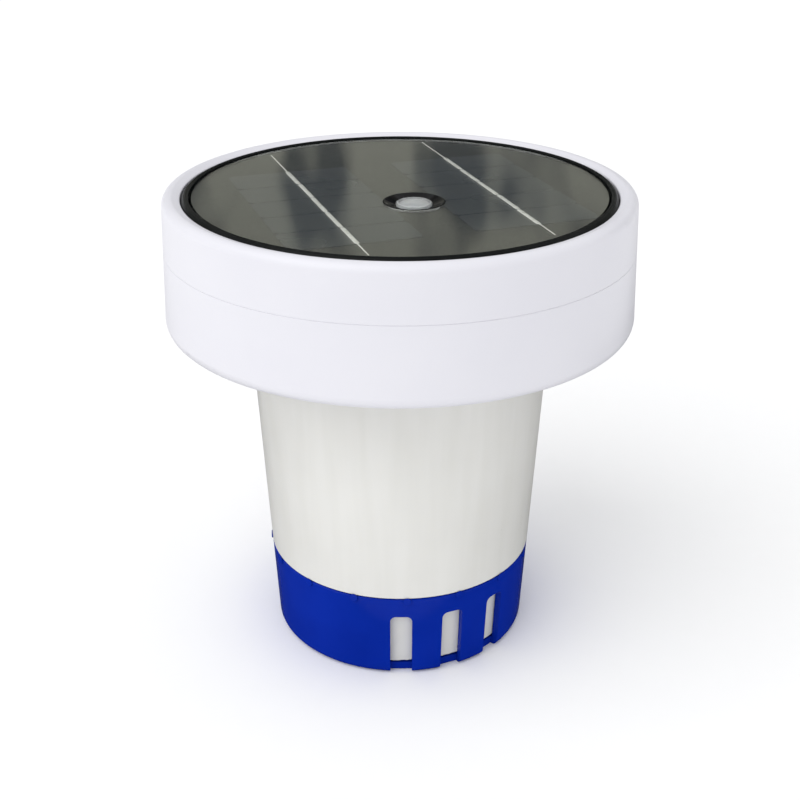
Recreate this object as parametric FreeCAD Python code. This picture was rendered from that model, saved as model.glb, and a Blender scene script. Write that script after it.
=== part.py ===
import FreeCAD, Part
import math
import os

# Floating chlorine dispenser with a solar-lit float head.
# Millimetres, +Z up, origin at the centre of the underside it stands on, front towards -Y.
# A tapered tablet cup turns in a slotted dosing collar and screws into the float head.

V = FreeCAD.Vector
UP = V(0, 0, 1)
FRONT = -90.0

# ---- driving dimensions: cup and collar -------------------------------------------------
collar_height = 39.7
collar_top_radius = 58.8
side_draft = 3.05            # degrees of taper shared by the collar and the cup
collar_wall = 3.0
collar_edge_round = 3.0
collar_floor = 3.4
collar_clearance = 0.4       # collar bore to cup skirt, measured on the radius
floor_gap = 0.8
shoulder_gap = 0.5           # collar rim to the cup's shoulder

slot_pitch = 22.5            # degrees between neighbouring slots and index nubs
slots_in_group = 3
blanks_in_group = 5
slot_phase = 0.5             # degrees the first slot stands off the front
slot_width = 9.4
slot_top_margin = 9.0
slot_corner = 2.6
sill_recess = 3.6            # how far the floor's rim stands in from the collar's wall

nub_shift = 2.5              # degrees from a slot's middle to its nub
nub_radius = 1.8
nub_rise = 1.0
nub_stand = 0.4
nub_clearance = 0.25

window_width = 9.0
window_sill = 3.0
window_corner = 2.0

cup_wall = 2.6
cup_visible_length = 107.8   # collar rim to the underside of the float
cup_top_gap = 0.6
neck_step = 3.0
neck_height = 14.0
neck_round = 1.0

snap_bead_stand = 0.8
snap_bead_below_rim = 5.0
snap_groove_clearance = 0.4

stop_peg_radius = 2.5
stop_peg_inset = 9.0         # peg centre in from the collar's bore
stop_peg_clearance = 0.5
stop_peg_rise = 1.2          # above the cup's floor

# ---- driving dimensions: quick thread between cup and head ------------------------------
thread_starts = 4
thread_lead = 24.0
lug_arc = 40.0
lug_height = 2.4
lug_stand = 2.4
lug_side_clearance = 0.6
lug_below_neck_top = 5.5
gasket_gap = 0.3
gasket_thickness = 1.9
gasket_inset = 0.6

# ---- driving dimensions: float ----------------------------------------------------------
float_radius = 98.0          # outside radius at the seam
float_draft = 2.1            # degrees, wider towards the bottom
float_wall = 2.5
float_lower_height = 33.2
float_upper_height = 22.3
float_bottom_round = 4.5
float_top_round = 3.6
lip_crest_width = 3.4        # rounded crest, in from the well's wall
lip_crest_round = 2.0
lip_fall = 1.3               # crest down to the well's mouth
well_mouth_round = 0.6
seam_bevel = 0.15
seam_flange_width = 6.0
seam_flange_height = 4.0
seal_section = 1.6
seal_depth = 1.2
socket_mouth_round = 1.2

shell_screw_count = 6
shell_screw_phase = 30.0
boss_wall = 2.6
screw_clearance = 0.25
thread_bite = 0.05           # pilot hole over screw, on the radius
m4_radius = 2.0
m4_head_radius = 3.6
m4_head_height = 2.6
m4_driver_radius = 1.3
m4_driver_depth = 1.6
m25_radius = 1.25
m25_head_radius = 2.3
m25_head_height = 1.5
m25_driver_radius = 0.8
m25_driver_depth = 0.9
boss_gap = 0.4
shell_screw_seat = 15.0      # screw head's seat above the float's underside
shell_screw_length = 20.0
plug_depth = 3.8
plug_clearance = 0.1
plug_recess = 0.3

# ---- driving dimensions: solar panel ----------------------------------------------------
rim_width = 7.8              # float's rim round the panel, at the crest
panel_clearance = 0.4
panel_stand = 0.6            # panel rim above the well's mouth
tray_wall = 3.0
tray_floor = 2.0
tray_depth = 10.5
tray_rim_bevel = 1.1
tray_seal_width = 4.0
tray_seal_thickness = 1.0
ledge_thickness = 2.5
ledge_width = 20.0
tray_screw_count = 4
tray_screw_inset = 11.0
tray_screw_length = 8.0
tray_boss_height = 4.2

board_gap = 0.4
panel_board_thickness = 1.2
window_gap = 0.3
window_drop = 0.6            # glass below the tray's rim
window_edge_bevel = 0.7
cell_length = 52.0
cell_width = 20.3
cell_thickness = 0.25
cell_pitch = 20.8
cell_corner = 1.6
cell_rows = 5
cell_shift = 7.0             # block's centre towards the button's side
cell_barrel_gap = 0.4        # cells to the button's barrel between the columns
ribbon_width = 1.8
ribbon_thickness = 0.15
ribbon_length = 147.0
ribbon_shift = -1.0
panel_turn = 18.8            # degrees the panel is turned in the float

# ---- driving dimensions: push button ----------------------------------------------------
button_radius = 7.3
button_offset = 17.5         # from the panel's centre, along the cell columns
button_clearance = 0.15
button_travel = 1.2
button_sink = 0.7            # crown below the tray's rim
button_crown = 0.7
button_rim_width = 0.9
button_flange = 1.0
button_flange_height = 1.7
button_stem_radius = 2.0
button_skirt = 4.9
stem_clearance = 0.3
bezel_lip = 0.35
bezel_land = 0.45            # flat at the foot of the dish, round the button
bezel_slope_width = 4.0
bezel_depth = 1.8
barrel_wall = 1.4
barrel_below_floor = 3.5
bezel_nut_width = 3.6
bezel_nut_height = 2.8
retainer_thickness = 1.5
boot_wall = 0.8

# ---- driving dimensions: electronics inside the head ------------------------------------
control_board_length = 60.0
control_board_width = 34.0
board_thickness = 1.6
board_below_tray = 11.0
board_post_radius = 3.0
board_hole_inset = 4.0
board_screw_length = 6.0
switch_size = 6.2
switch_height = 4.5
plunger_radius = 1.6
plunger_rise = 2.0
chip_size = 10.0
chip_height = 1.8
coil_radius = 4.0
coil_height = 4.0
capacitor_radius = 3.2
capacitor_height = 7.0

battery_radius = 9.2
battery_length = 65.0
battery_clearance = 0.4
holder_gap = 2.9             # battery holder to the lamp board
holder_wall = 1.5
holder_above_axis = 3.1      # side walls above the cell's middle
holder_end_room = 4.0
pad_thickness = 0.8
contact_thickness = 0.4
contact_width = 12.0
contact_stand = 1.6

lamp_window_radius = 10.0
lamp_window_flange = 2.4
lamp_window_flange_height = 2.0
lamp_seal_thickness = 0.6
lamp_board_edge = 2.45       # screw circle to the lamp board's edge
lamp_board_lift = 6.0
lamp_post_radius = 1.9
lamp_post_count = 3
led_count = 3
led_size = 5.0
led_height = 1.6
led_circle = 6.0
lamp_screw_length = 5.0

lead_radius = 0.75
lead_hole_clearance = 0.6
lead_bend_share = 0.45       # of the shorter run beside each bend
pad_end_inset = 6.5          # foam pad in from the battery's ends
pad_side_inset = 1.8
overcut = 1.0                # how far cutters run past the faces they open

# ---- heights and radii that follow from the driving dimensions --------------------------
group_angle = slot_pitch * (slots_in_group + blanks_in_group)
group_count = round(360 / group_angle)
slot_top = collar_height - slot_top_margin
cup_floor_bottom = collar_floor + floor_gap
cup_floor_top = cup_floor_bottom + cup_wall
cup_shoulder = collar_height + shoulder_gap
float_bottom = collar_height + cup_visible_length
cup_top = float_bottom - cup_top_gap
neck_top = cup_top + neck_height
gasket_bottom = neck_top + gasket_gap
socket_ceiling = gasket_bottom + gasket_thickness + gasket_gap
ceiling_top = socket_ceiling + float_wall
seam = float_bottom + float_lower_height
lip_top = seam + float_upper_height
well_mouth = lip_top - lip_fall
panel_top = well_mouth + panel_stand
tray_bottom = panel_top - tray_depth
tray_floor_top = tray_bottom + tray_floor
ledge_top = tray_bottom - tray_seal_thickness
ledge_bottom = ledge_top - ledge_thickness
panel_board_bottom = tray_floor_top + tray_boss_height
panel_board_top = panel_board_bottom + panel_board_thickness
cell_top = panel_board_top + cell_thickness
window_bottom = cell_top + ribbon_thickness + window_gap
window_top = panel_top - window_drop


def side_radius(height):
    """Outside radius of the collar and of the cup above it, at a height."""
    return collar_top_radius + (height - collar_height) * math.tan(math.radians(side_draft))


def bore_radius(height):
    """Inside radius of the collar's wall at a height."""
    return side_radius(height) - collar_wall


def skirt_radius(height):
    """Outside radius of the cup's skirt, which turns inside the collar."""
    return bore_radius(height) - collar_clearance


def float_side(height):
    """Outside radius of the float at a height."""
    return float_radius - (height - seam) * math.tan(math.radians(float_draft))


panel_radius = float_side(lip_top) - rim_width
neck_radius = side_radius(cup_top) - neck_step
neck_bore = neck_radius - cup_wall
lug_reach = neck_radius + lug_stand
socket_radius = lug_reach + lug_side_clearance
socket_outer = socket_radius + float_wall
well_radius = panel_radius + panel_clearance
ledge_inner = well_radius - ledge_width
shell_screw_circle = (socket_outer + float_side(float_bottom) - float_wall) / 2
shell_boss_radius = m4_radius + thread_bite + boss_wall
tray_screw_circle = panel_radius - tray_screw_inset
board_radius = panel_radius - tray_wall - board_gap
barrel_bore = button_radius + button_flange + stem_clearance
barrel_radius = barrel_bore + barrel_wall
barrel_bottom = tray_bottom - barrel_below_floor
bezel_radius = button_radius + button_clearance + bezel_land + bezel_slope_width + bezel_lip
bezel_top = panel_top - window_drop + bezel_lip
column_offset = barrel_radius + cell_barrel_gap + cell_length / 2
button_top = panel_top - button_sink
button_flange_top = button_top - button_crown - button_skirt
button_flange_bottom = button_flange_top - button_flange_height
retainer_top = barrel_bottom + retainer_thickness
control_top = tray_bottom - board_below_tray
control_bottom = control_top - board_thickness
switch_top = control_top + switch_height
plunger_top = switch_top + plunger_rise
lamp_post_circle = lamp_window_radius + lamp_window_flange + lamp_post_radius + screw_clearance
lamp_board_radius = lamp_post_circle + lamp_board_edge
holder_width = 2 * (battery_radius + battery_clearance + holder_wall)
holder_height = holder_wall + battery_radius + battery_clearance / 2 + holder_above_axis
battery_offset = lamp_board_radius + holder_gap + holder_width / 2
component_across = control_board_length / 5
capacitor_across = control_board_length / 3
component_along = -control_board_width / 4
stop_circle = bore_radius(cup_floor_top) - stop_peg_inset
collar_range = slots_in_group * slot_pitch


# ---- building helpers -------------------------------------------------------------------
def crown_arc(edge_radius, edge_height, top_height):
    """Arc of a shallow dome, from its edge up to the Z axis."""
    rise = top_height - edge_height
    radius = (edge_radius ** 2 + rise ** 2) / (2 * rise)
    half = math.asin(edge_radius / radius) / 2
    middle = V(radius * math.sin(half), 0, top_height - radius * (1 - math.cos(half)))
    return Part.Arc(V(edge_radius, 0, edge_height), middle, V(0, 0, top_height)).toShape()


def polar(radius, angle, height=0.0):
    """Point at a radius and an angle in degrees about the Z axis."""
    turn = math.radians(angle)
    return V(radius * math.cos(turn), radius * math.sin(turn), height)


def spread(count, first=0.0, whole=360.0):
    """Evenly spaced angles, starting at the first."""
    return [first + index * whole / count for index in range(count)]


def rounded_corner(before, corner, after, radius):
    """Start, middle and end of the arc that rounds a corner of an outline."""
    back = (before - corner).normalize()
    ahead = (after - corner).normalize()
    half = back.getAngle(ahead) / 2
    middle_way = (back + ahead).normalize()
    centre = corner + middle_way * (radius / math.sin(half))
    setback = radius / math.tan(half)
    return corner + back * setback, centre - middle_way * radius, corner + ahead * setback


def outline(points):
    """Closed wire through (x, z) or (x, z, corner radius) points in the XZ plane."""
    corners = [V(point[0], 0, point[1]) for point in points]
    rounds = [point[2] if len(point) > 2 else 0 for point in points]
    return closed_wire(corners, rounds)


def closed_wire(corners, rounds):
    """Closed wire through corner points, each with its own rounding."""
    count = len(corners)
    stations = []
    for index, corner in enumerate(corners):
        if rounds[index]:
            after = corners[(index + 1) % count]
            stations.append(rounded_corner(corners[index - 1], corner, after, rounds[index]))
        else:
            stations.append((corner, None, corner))
    edges = []
    for index, (start, middle, end) in enumerate(stations):
        if middle:
            edges.append(Part.Arc(start, middle, end).toShape())
        following = stations[(index + 1) % count][0]
        edges.append(Part.LineSegment(end, following).toShape())
    return Part.Wire(edges)


def turned(points):
    """Solid of revolution about the Z axis from an outline."""
    return Part.Face(outline(points)).revolve(V(0, 0, 0), UP, 360)


def ring(inner, outer, bottom, top):
    """Plain flat ring about the Z axis."""
    return turned([(inner, bottom), (outer, bottom), (outer, top), (inner, top)])


def rod(radius, bottom, top, centre=V(0, 0, 0)):
    """Upright cylinder standing at a point's x and y."""
    return Part.makeCylinder(radius, top - bottom, V(centre.x, centre.y, bottom), UP)


def block(length, width, bottom, top, centre=V(0, 0, 0)):
    """Upright box centred on a point's x and y."""
    corner = V(centre.x - length / 2, centre.y - width / 2, bottom)
    return Part.makeBox(length, width, top - bottom, corner)


def spun(shape, angle, centre=V(0, 0, 0)):
    """Copy of a shape turned about an upright axis."""
    copy = shape.copy()
    copy.rotate(centre, UP, angle)
    return copy


def moved(shape, offset):
    """Copy of a shape moved by an offset."""
    copy = shape.copy()
    copy.translate(offset)
    return copy


def joined(shapes):
    """One solid from shapes that meet."""
    return shapes[0].fuse(list(shapes[1:])).removeSplitter()


def panel_place(across, along):
    """Point on the panel: across the cell columns, and along them towards the button."""
    along_way = FRONT + panel_turn
    return polar(along, along_way) + polar(across, along_way + 90)


def wall_opening(width, bottom, top, corner, angle, inner, outer):
    """Radial cutter with rounded top corners for an opening in a round wall."""
    half = width / 2
    corners = [
        V(inner, -half, bottom),
        V(inner, half, bottom),
        V(inner, half, top),
        V(inner, -half, top),
    ]
    face = Part.Face(closed_wire(corners, [0, 0, corner, corner]))
    return spun(face.extrude(V(outer - inner, 0, 0)), angle)


def thread_lugs(inner, outer, height, first_angle):
    """Lugs of the quick thread, each lying along the thread's rise."""
    slope = math.degrees(math.atan(thread_lead / (math.pi * (inner + outer))))
    reach = 2 * outer
    lugs = []
    for angle in spread(thread_starts, first_angle):
        slab = Part.makeBox(reach, reach, lug_height, V(0, -reach / 2, height - lug_height / 2))
        slab.rotate(V(0, 0, height), V(1, 0, 0), slope)
        sector = Part.makeCylinder(outer, reach, V(0, 0, height - outer), UP, lug_arc)
        sector.rotate(V(0, 0, 0), UP, -lug_arc / 2)
        lug = slab.common(sector).cut(rod(inner, height - reach, height + reach))
        lugs.append(spun(lug, angle))
    return lugs


def screw(radius, length, head_radius, head_height, driver_radius, driver_depth):
    """Pan-head screw pointing up, with its head's seat at the origin."""
    edge = head_height / 3
    head = turned([
        (0, -head_height),
        (head_radius, -head_height, edge),
        (head_radius, 0),
        (0, 0),
    ])
    tip = radius / 2
    shank = turned([(0, 0), (radius, 0), (radius, length - tip), (radius - tip, length), (0, length)])
    driver = rod(driver_radius, -head_height, driver_depth - head_height)
    return joined([head, shank]).cut(driver)


def m4_screw(length):
    return screw(m4_radius, length, m4_head_radius, m4_head_height, m4_driver_radius, m4_driver_depth)


def m25_screw(length):
    return screw(m25_radius, length, m25_head_radius, m25_head_height, m25_driver_radius, m25_driver_depth)


def flipped(shape):
    """Copy of a shape turned upside down about the origin."""
    copy = shape.copy()
    copy.rotate(V(0, 0, 0), V(1, 0, 0), 180)
    return copy


def lead(points):
    """Insulated wire along straight runs joined by arcs, each as wide as its shorter run allows."""
    edges = []
    start = points[0]
    for before, corner, after in zip(points, points[1:], points[2:]):
        shorter = min((corner - before).Length, (after - corner).Length)
        turn = (corner - before).getAngle(after - corner)
        radius = lead_bend_share * shorter / math.tan(turn / 2)
        first, middle, last = rounded_corner(before, corner, after, radius)
        edges.append(Part.LineSegment(start, first).toShape())
        edges.append(Part.Arc(first, middle, last).toShape())
        start = last
    edges.append(Part.LineSegment(start, points[-1]).toShape())
    section = Part.Wire([Part.Circle(points[0], points[1] - points[0], lead_radius).toShape()])
    return Part.Wire(edges).makePipeShell([section], True, False)


# ---- cup and collar ---------------------------------------------------------------------
def slot_angles():
    """Collar slots: a group together, then the blank places, round the collar."""
    angles = []
    for group in range(group_count):
        for index in range(slots_in_group):
            angles.append(FRONT + slot_phase + group * group_angle + index * slot_pitch)
    return angles


def window_angles():
    """Cup windows sit behind the collar's blank places while the dispenser is shut."""
    return [angle + collar_range for angle in slot_angles()]


def stop_angle():
    """Where the collar's stop peg stands while the dispenser is shut."""
    return -collar_range / 2


def snap_bead_height():
    return collar_height - snap_bead_below_rim


def dosing_collar():
    """Slotted cup that turns on the tablet cup's skirt."""
    rim = collar_height
    body = turned([
        (0, 0),
        (side_radius(0), 0, collar_edge_round),
        (side_radius(rim), rim, collar_wall / 4),
        (bore_radius(rim), rim, collar_wall / 4),
        (bore_radius(collar_floor), collar_floor),
        (0, collar_floor),
    ])
    groove_half = snap_bead_stand + snap_groove_clearance
    groove = ring(
        bore_radius(0) - collar_wall,
        skirt_radius(snap_bead_height()) + snap_bead_stand + snap_groove_clearance,
        snap_bead_height() - groove_half,
        snap_bead_height() + groove_half,
    )
    body = body.cut(groove)
    slots = []
    for angle in slot_angles():
        inner = side_radius(0) - sill_recess
        outer = side_radius(rim) + collar_wall
        slots.append(wall_opening(slot_width, -collar_floor, slot_top, slot_corner, angle, inner, outer))
    body = body.cut(slots)
    peg_place = polar(stop_circle, stop_angle())
    peg = rod(stop_peg_radius, collar_floor / 2, cup_floor_top + stop_peg_rise, peg_place)
    return joined([body, peg] + index_nubs())


def index_nubs():
    """Rounded nubs round the collar's rim that overlap the cup and mark each position."""
    middle = collar_height + nub_rise - nub_radius
    outer = side_radius(collar_height) + nub_stand + nub_clearance
    inner = bore_radius(middle) + collar_wall / 2
    cup_side = side_radius(collar_height + nub_rise)
    clear_of_cup = rod(cup_side + nub_clearance, collar_height, 2 * collar_height)
    nub = Part.makeCylinder(nub_radius, outer - inner, V(inner, 0, middle), V(1, 0, 0))
    rim_edge = [edge for edge in nub.Edges if edge.CenterOfMass.x > outer - nub_stand / 2]
    nub = nub.makeFillet(nub_stand / 2, rim_edge[:1]).cut(clear_of_cup)
    count = round(360 / slot_pitch)
    return [spun(nub, angle) for angle in spread(count, FRONT + slot_phase + nub_shift)]


def tablet_cup():
    """Tapered cup for the tablets, with its neck, quick thread, windowed skirt and snap bead."""
    skirt_bottom = skirt_radius(cup_floor_bottom)
    body = turned([
        (0, cup_floor_bottom),
        (skirt_bottom, cup_floor_bottom, neck_round),
        (skirt_radius(cup_shoulder), cup_shoulder),
        (side_radius(cup_shoulder), cup_shoulder, shoulder_gap),
        (side_radius(cup_top), cup_top, neck_round),
        (neck_radius, cup_top),
        (neck_radius, neck_top, neck_round),
        (neck_bore, neck_top, neck_round),
        (neck_bore, cup_top - cup_wall),
        (side_radius(cup_top - cup_wall) - cup_wall, cup_top - cup_wall, neck_round),
        (side_radius(cup_shoulder + cup_wall) - cup_wall, cup_shoulder + cup_wall),
        (skirt_radius(cup_shoulder) - cup_wall, cup_shoulder - cup_wall),
        (skirt_radius(cup_floor_top) - cup_wall, cup_floor_top, neck_round),
        (0, cup_floor_top),
    ])
    bead_height = snap_bead_height()
    bead_root = skirt_radius(bead_height)
    bead = turned([
        (bead_root - cup_wall / 2, bead_height - snap_bead_stand),
        (bead_root, bead_height - snap_bead_stand),
        (bead_root + snap_bead_stand, bead_height),
        (bead_root, bead_height + snap_bead_stand),
        (bead_root - cup_wall / 2, bead_height + snap_bead_stand),
    ])
    lug_height_centre = neck_top - lug_below_neck_top
    lugs = thread_lugs(neck_radius - cup_wall / 2, lug_reach, lug_height_centre, 0)
    body = joined([body, bead] + lugs)
    cutters = []
    for angle in window_angles():
        inner = skirt_bottom - 2 * cup_wall
        outer = skirt_radius(collar_height) + cup_wall
        window_bottom_height = cup_floor_top + window_sill
        cutter = wall_opening(
            window_width, window_bottom_height, slot_top, window_corner, angle, inner, outer
        )
        cutters.append(cutter)
    cutters.append(stop_slot())
    return body.cut(cutters)


def stop_slot():
    """Curved slot in the cup's floor that the collar's stop peg runs in."""
    half = stop_peg_radius + stop_peg_clearance
    bottom = cup_floor_bottom - floor_gap
    top = cup_floor_top + floor_gap
    start = stop_angle()
    track = Part.makeCylinder(stop_circle + half, top - bottom, V(0, 0, bottom), UP, collar_range)
    track = track.cut(rod(stop_circle - half, bottom, top))
    track.rotate(V(0, 0, 0), UP, start)
    ends = [rod(half, bottom, top, polar(stop_circle, angle)) for angle in (start, start + collar_range)]
    return joined([track] + ends)


def neck_gasket():
    """Flat liner between the cup's rim and the head, carried up with the head."""
    return ring(
        neck_bore + gasket_inset,
        neck_radius - gasket_inset,
        gasket_bottom,
        gasket_bottom + gasket_thickness,
    )


# ---- float shells -----------------------------------------------------------------------
def shell_screw_places():
    return [polar(shell_screw_circle, angle) for angle in spread(shell_screw_count, shell_screw_phase)]


def lower_boss_top():
    return float_bottom + shell_screw_seat + float_wall


def float_lower_shell():
    """Lower half of the float: bowl, threaded socket for the cup, and screw columns."""
    flange_inner = float_side(seam) - seam_flange_width
    floor_top = float_bottom + float_wall
    under_flange = seam - seam_flange_height
    body = turned([
        (socket_radius, float_bottom, socket_mouth_round),
        (float_side(float_bottom), float_bottom, float_bottom_round),
        (float_side(seam - seam_bevel), seam - seam_bevel),
        (float_side(seam) - seam_bevel, seam),
        (flange_inner, seam),
        (flange_inner, under_flange),
        (float_side(under_flange) - float_wall, under_flange - seam_flange_width),
        (float_side(floor_top) - float_wall, floor_top, float_bottom_round - float_wall),
        (socket_outer, floor_top),
        (socket_outer, ceiling_top),
        (lamp_window_radius, ceiling_top),
        (lamp_window_radius, socket_ceiling),
        (socket_radius, socket_ceiling),
    ])
    head_room = m4_head_radius + screw_clearance
    columns = []
    holes = []
    for place in shell_screw_places():
        seat = float_bottom + shell_screw_seat
        columns.append(rod(head_room + boss_wall, float_bottom + float_wall / 2, lower_boss_top(), place))
        holes.append(rod(head_room, float_bottom - float_wall, seat, place))
        holes.append(rod(m4_radius + screw_clearance, seat - float_wall, 2 * seat, place))
        holes.append(rod(shell_boss_radius + boss_gap, lower_boss_top(), 2 * seat, place))
    lug_centre = neck_top - lug_below_neck_top - thread_lead / thread_starts / 2
    lugs = thread_lugs(neck_radius + lug_side_clearance, socket_radius + float_wall / 2, lug_centre, 0)
    posts = []
    for place in lamp_post_places():
        posts.append(rod(lamp_post_radius, ceiling_top - float_wall / 2, lamp_board_bottom(), place))
        pilot_bottom = ceiling_top + lamp_post_radius / 2
        holes.append(rod(m25_radius + thread_bite, pilot_bottom, 2 * ceiling_top, place))
    seal_middle = float_side(seam) - seam_flange_width / 2
    half = seal_section / 2
    holes.append(ring(seal_middle - half, seal_middle + half, seam - seal_depth, seam + seal_depth))
    return joined([body] + columns + lugs + posts).cut(holes)


def seam_seal():
    """Rubber ring in the lower shell's flange that closes the seam."""
    middle = float_side(seam) - seam_flange_width / 2
    half = seal_section / 2
    return ring(middle - half, middle + half, seam - seal_depth, seam)


def float_upper_shell():
    """Upper half of the float: rim, well for the panel, ledge and screw bosses."""
    flange_inner = float_side(seam) - seam_flange_width
    flange_top = seam + seam_flange_height
    body = turned([
        (flange_inner, seam),
        (float_side(seam) - seam_bevel, seam),
        (float_side(seam + seam_bevel), seam + seam_bevel),
        (float_side(lip_top), lip_top, float_top_round),
        (well_radius + lip_crest_width, lip_top, lip_crest_round),
        (well_radius, well_mouth, well_mouth_round),
        (well_radius, ledge_top),
        (ledge_inner, ledge_top),
        (ledge_inner, ledge_bottom),
        (well_radius + float_wall, ledge_bottom),
        (well_radius + float_wall, well_mouth - float_wall),
        (float_side(well_mouth) - float_wall, well_mouth - float_wall, float_wall / 2),
        (float_side(flange_top) - float_wall, flange_top + seam_flange_width / 2),
        (flange_inner, flange_top),
    ])
    bosses = []
    holes = []
    pilot = m4_radius + thread_bite
    for place in shell_screw_places():
        bottom = lower_boss_top() + boss_gap
        bosses.append(rod(shell_boss_radius, bottom, ledge_bottom + ledge_thickness / 2, place))
        tip = float_bottom + shell_screw_seat + shell_screw_length
        holes.append(rod(pilot, bottom - boss_gap, tip + boss_gap, place))
    for place in tray_screw_places():
        holes.append(rod(m4_radius + screw_clearance, ledge_bottom - boss_gap, ledge_top + boss_gap, place))
    return joined([body] + bosses).cut(holes)


def shell_screws():
    seat = V(0, 0, float_bottom + shell_screw_seat)
    one = m4_screw(shell_screw_length)
    return Part.makeCompound([moved(one, place + seat) for place in shell_screw_places()])


def screw_plugs():
    """Rubber plugs that close the screw recesses in the float's underside."""
    bottom = float_bottom + plug_recess
    radius = m4_head_radius + screw_clearance - plug_clearance
    plugs = [rod(radius, bottom, bottom + plug_depth, place) for place in shell_screw_places()]
    return Part.makeCompound(plugs)


# ---- solar panel ------------------------------------------------------------------------
def tray_screw_places():
    return [polar(tray_screw_circle, angle) for angle in spread(tray_screw_count, FRONT + panel_turn)]


def button_place():
    return panel_place(0, button_offset)


def control_board_corners():
    """Screw places near the control board's corners."""
    across = control_board_length / 2 - board_hole_inset
    along = control_board_width / 2 - board_hole_inset
    signs = [(-1, -1), (1, -1), (1, 1), (-1, 1)]
    return [panel_place(side * across, button_offset + end * along) for side, end in signs]


def panel_lead_places():
    """Where the two panel leads pass down through the tray."""
    along = button_offset + board_hole_inset
    return [panel_place(side * capacitor_across, along) for side in (-1, 1)]


def panel_tray():
    """Black tray that carries the panel, with posts for the control board below."""
    inner = panel_radius - tray_wall
    body = turned([
        (0, tray_bottom),
        (panel_radius, tray_bottom, tray_rim_bevel / 2),
        (panel_radius, panel_top - tray_rim_bevel),
        (panel_radius - tray_rim_bevel, panel_top),
        (inner, panel_top, tray_rim_bevel / 4),
        (inner, tray_floor_top),
        (0, tray_floor_top),
    ])
    pilot = m4_radius + thread_bite
    bosses = []
    holes = [rod(barrel_radius + panel_clearance, tray_bottom - tray_floor, panel_top, button_place())]
    for place in tray_screw_places():
        bosses.append(rod(pilot + boss_wall, tray_bottom + tray_floor / 2, panel_board_bottom, place))
        tip = ledge_bottom + tray_screw_length
        holes.append(rod(pilot, tray_bottom - tray_floor, tip + boss_gap, place))
    for place in control_board_corners():
        bosses.append(rod(board_post_radius, control_top, tray_bottom + tray_floor / 2, place))
        tip = control_top + board_screw_length
        holes.append(rod(m25_radius + thread_bite, control_top - boss_gap, tip, place))
    lead_hole = lead_radius + lead_hole_clearance
    for place in panel_lead_places():
        holes.append(rod(lead_hole, tray_bottom - overcut, tray_floor_top + overcut, place))
    return joined([body] + bosses).cut(holes)


def tray_seal():
    """Flat ring that seals the tray to the float's ledge."""
    outer = panel_radius - tray_wall / 2
    return ring(outer - tray_seal_width, outer, ledge_top, tray_bottom)


def tray_screws():
    one = m4_screw(tray_screw_length)
    seat = V(0, 0, ledge_bottom)
    return Part.makeCompound([moved(one, place + seat) for place in tray_screw_places()])


def panel_board():
    """Round backing board under the cells."""
    bottom = panel_board_bottom - overcut
    hole = rod(barrel_radius + panel_clearance, bottom, panel_board_top + overcut, button_place())
    return rod(board_radius, panel_board_bottom, panel_board_top).cut(hole)


def solar_cells():
    """Two columns of cut cells with small clipped corners."""
    half_length = cell_length / 2
    half_width = cell_width / 2
    clip = cell_corner
    corners = [
        V(half_length, half_width - clip, 0),
        V(half_length - clip, half_width, 0),
        V(clip - half_length, half_width, 0),
        V(-half_length, half_width - clip, 0),
        V(-half_length, clip - half_width, 0),
        V(clip - half_length, -half_width, 0),
        V(half_length - clip, -half_width, 0),
        V(half_length, clip - half_width, 0),
    ]
    cell = Part.Face(Part.makePolygon(corners + corners[:1])).extrude(V(0, 0, cell_thickness))
    cell = spun(cell, panel_turn)
    height = V(0, 0, panel_board_top)
    cells = []
    for side in (-1, 1):
        for row in range(cell_rows):
            along = cell_shift + (row - (cell_rows - 1) / 2) * cell_pitch
            cells.append(moved(cell, panel_place(side * column_offset, along) + height))
    return Part.makeCompound(cells)


def cell_ribbons():
    """Tinned ribbons soldered along the middle of each column of cells."""
    ribbon = block(ribbon_width, ribbon_length, cell_top, cell_top + ribbon_thickness)
    ribbon = spun(ribbon, panel_turn)
    ribbons = [moved(ribbon, panel_place(side * column_offset, ribbon_shift)) for side in (-1, 1)]
    return Part.makeCompound(ribbons)


def panel_window():
    """Clear cover over the cells, with a hole for the button's bezel."""
    edge = board_radius
    body = turned([
        (0, window_bottom),
        (edge, window_bottom),
        (edge, window_top - window_edge_bevel),
        (edge - window_edge_bevel, window_top),
        (0, window_top),
    ])
    bottom = window_bottom - overcut
    hole = rod(bezel_radius + button_clearance, bottom, window_top + overcut, button_place())
    return body.cut(hole)


# ---- push button ------------------------------------------------------------------------
def button_bezel():
    """Dished black bushing that guides the button through the panel."""
    bore = button_radius + button_clearance
    step = button_flange_top + button_clearance
    slope_outer = bezel_radius - bezel_lip
    body = turned([
        (bore, bezel_top - bezel_depth),
        (slope_outer - bezel_slope_width, bezel_top - bezel_depth),
        (slope_outer, bezel_top - bezel_lip / 2, bezel_lip),
        (bezel_radius, bezel_top - bezel_lip / 2),
        (bezel_radius, cell_top),
        (barrel_radius, cell_top),
        (barrel_radius, barrel_bottom),
        (barrel_bore, barrel_bottom),
        (barrel_bore, step),
        (bore, step),
    ])
    return moved(body, button_place())


def bezel_nut():
    """Six-sided nut that clamps the bezel to the tray from below."""
    flats = barrel_radius + bezel_nut_width
    corners = [polar(flats / math.cos(math.radians(30)), angle) for angle in spread(6)]
    height = V(0, 0, tray_bottom - bezel_nut_height)
    body = Part.Face(Part.makePolygon(corners + corners[:1])).extrude(V(0, 0, bezel_nut_height))
    bore = rod(barrel_radius + thread_bite, tray_bottom - 2 * bezel_nut_height, tray_bottom)
    return moved(moved(body, height).cut(bore), button_place())


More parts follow.
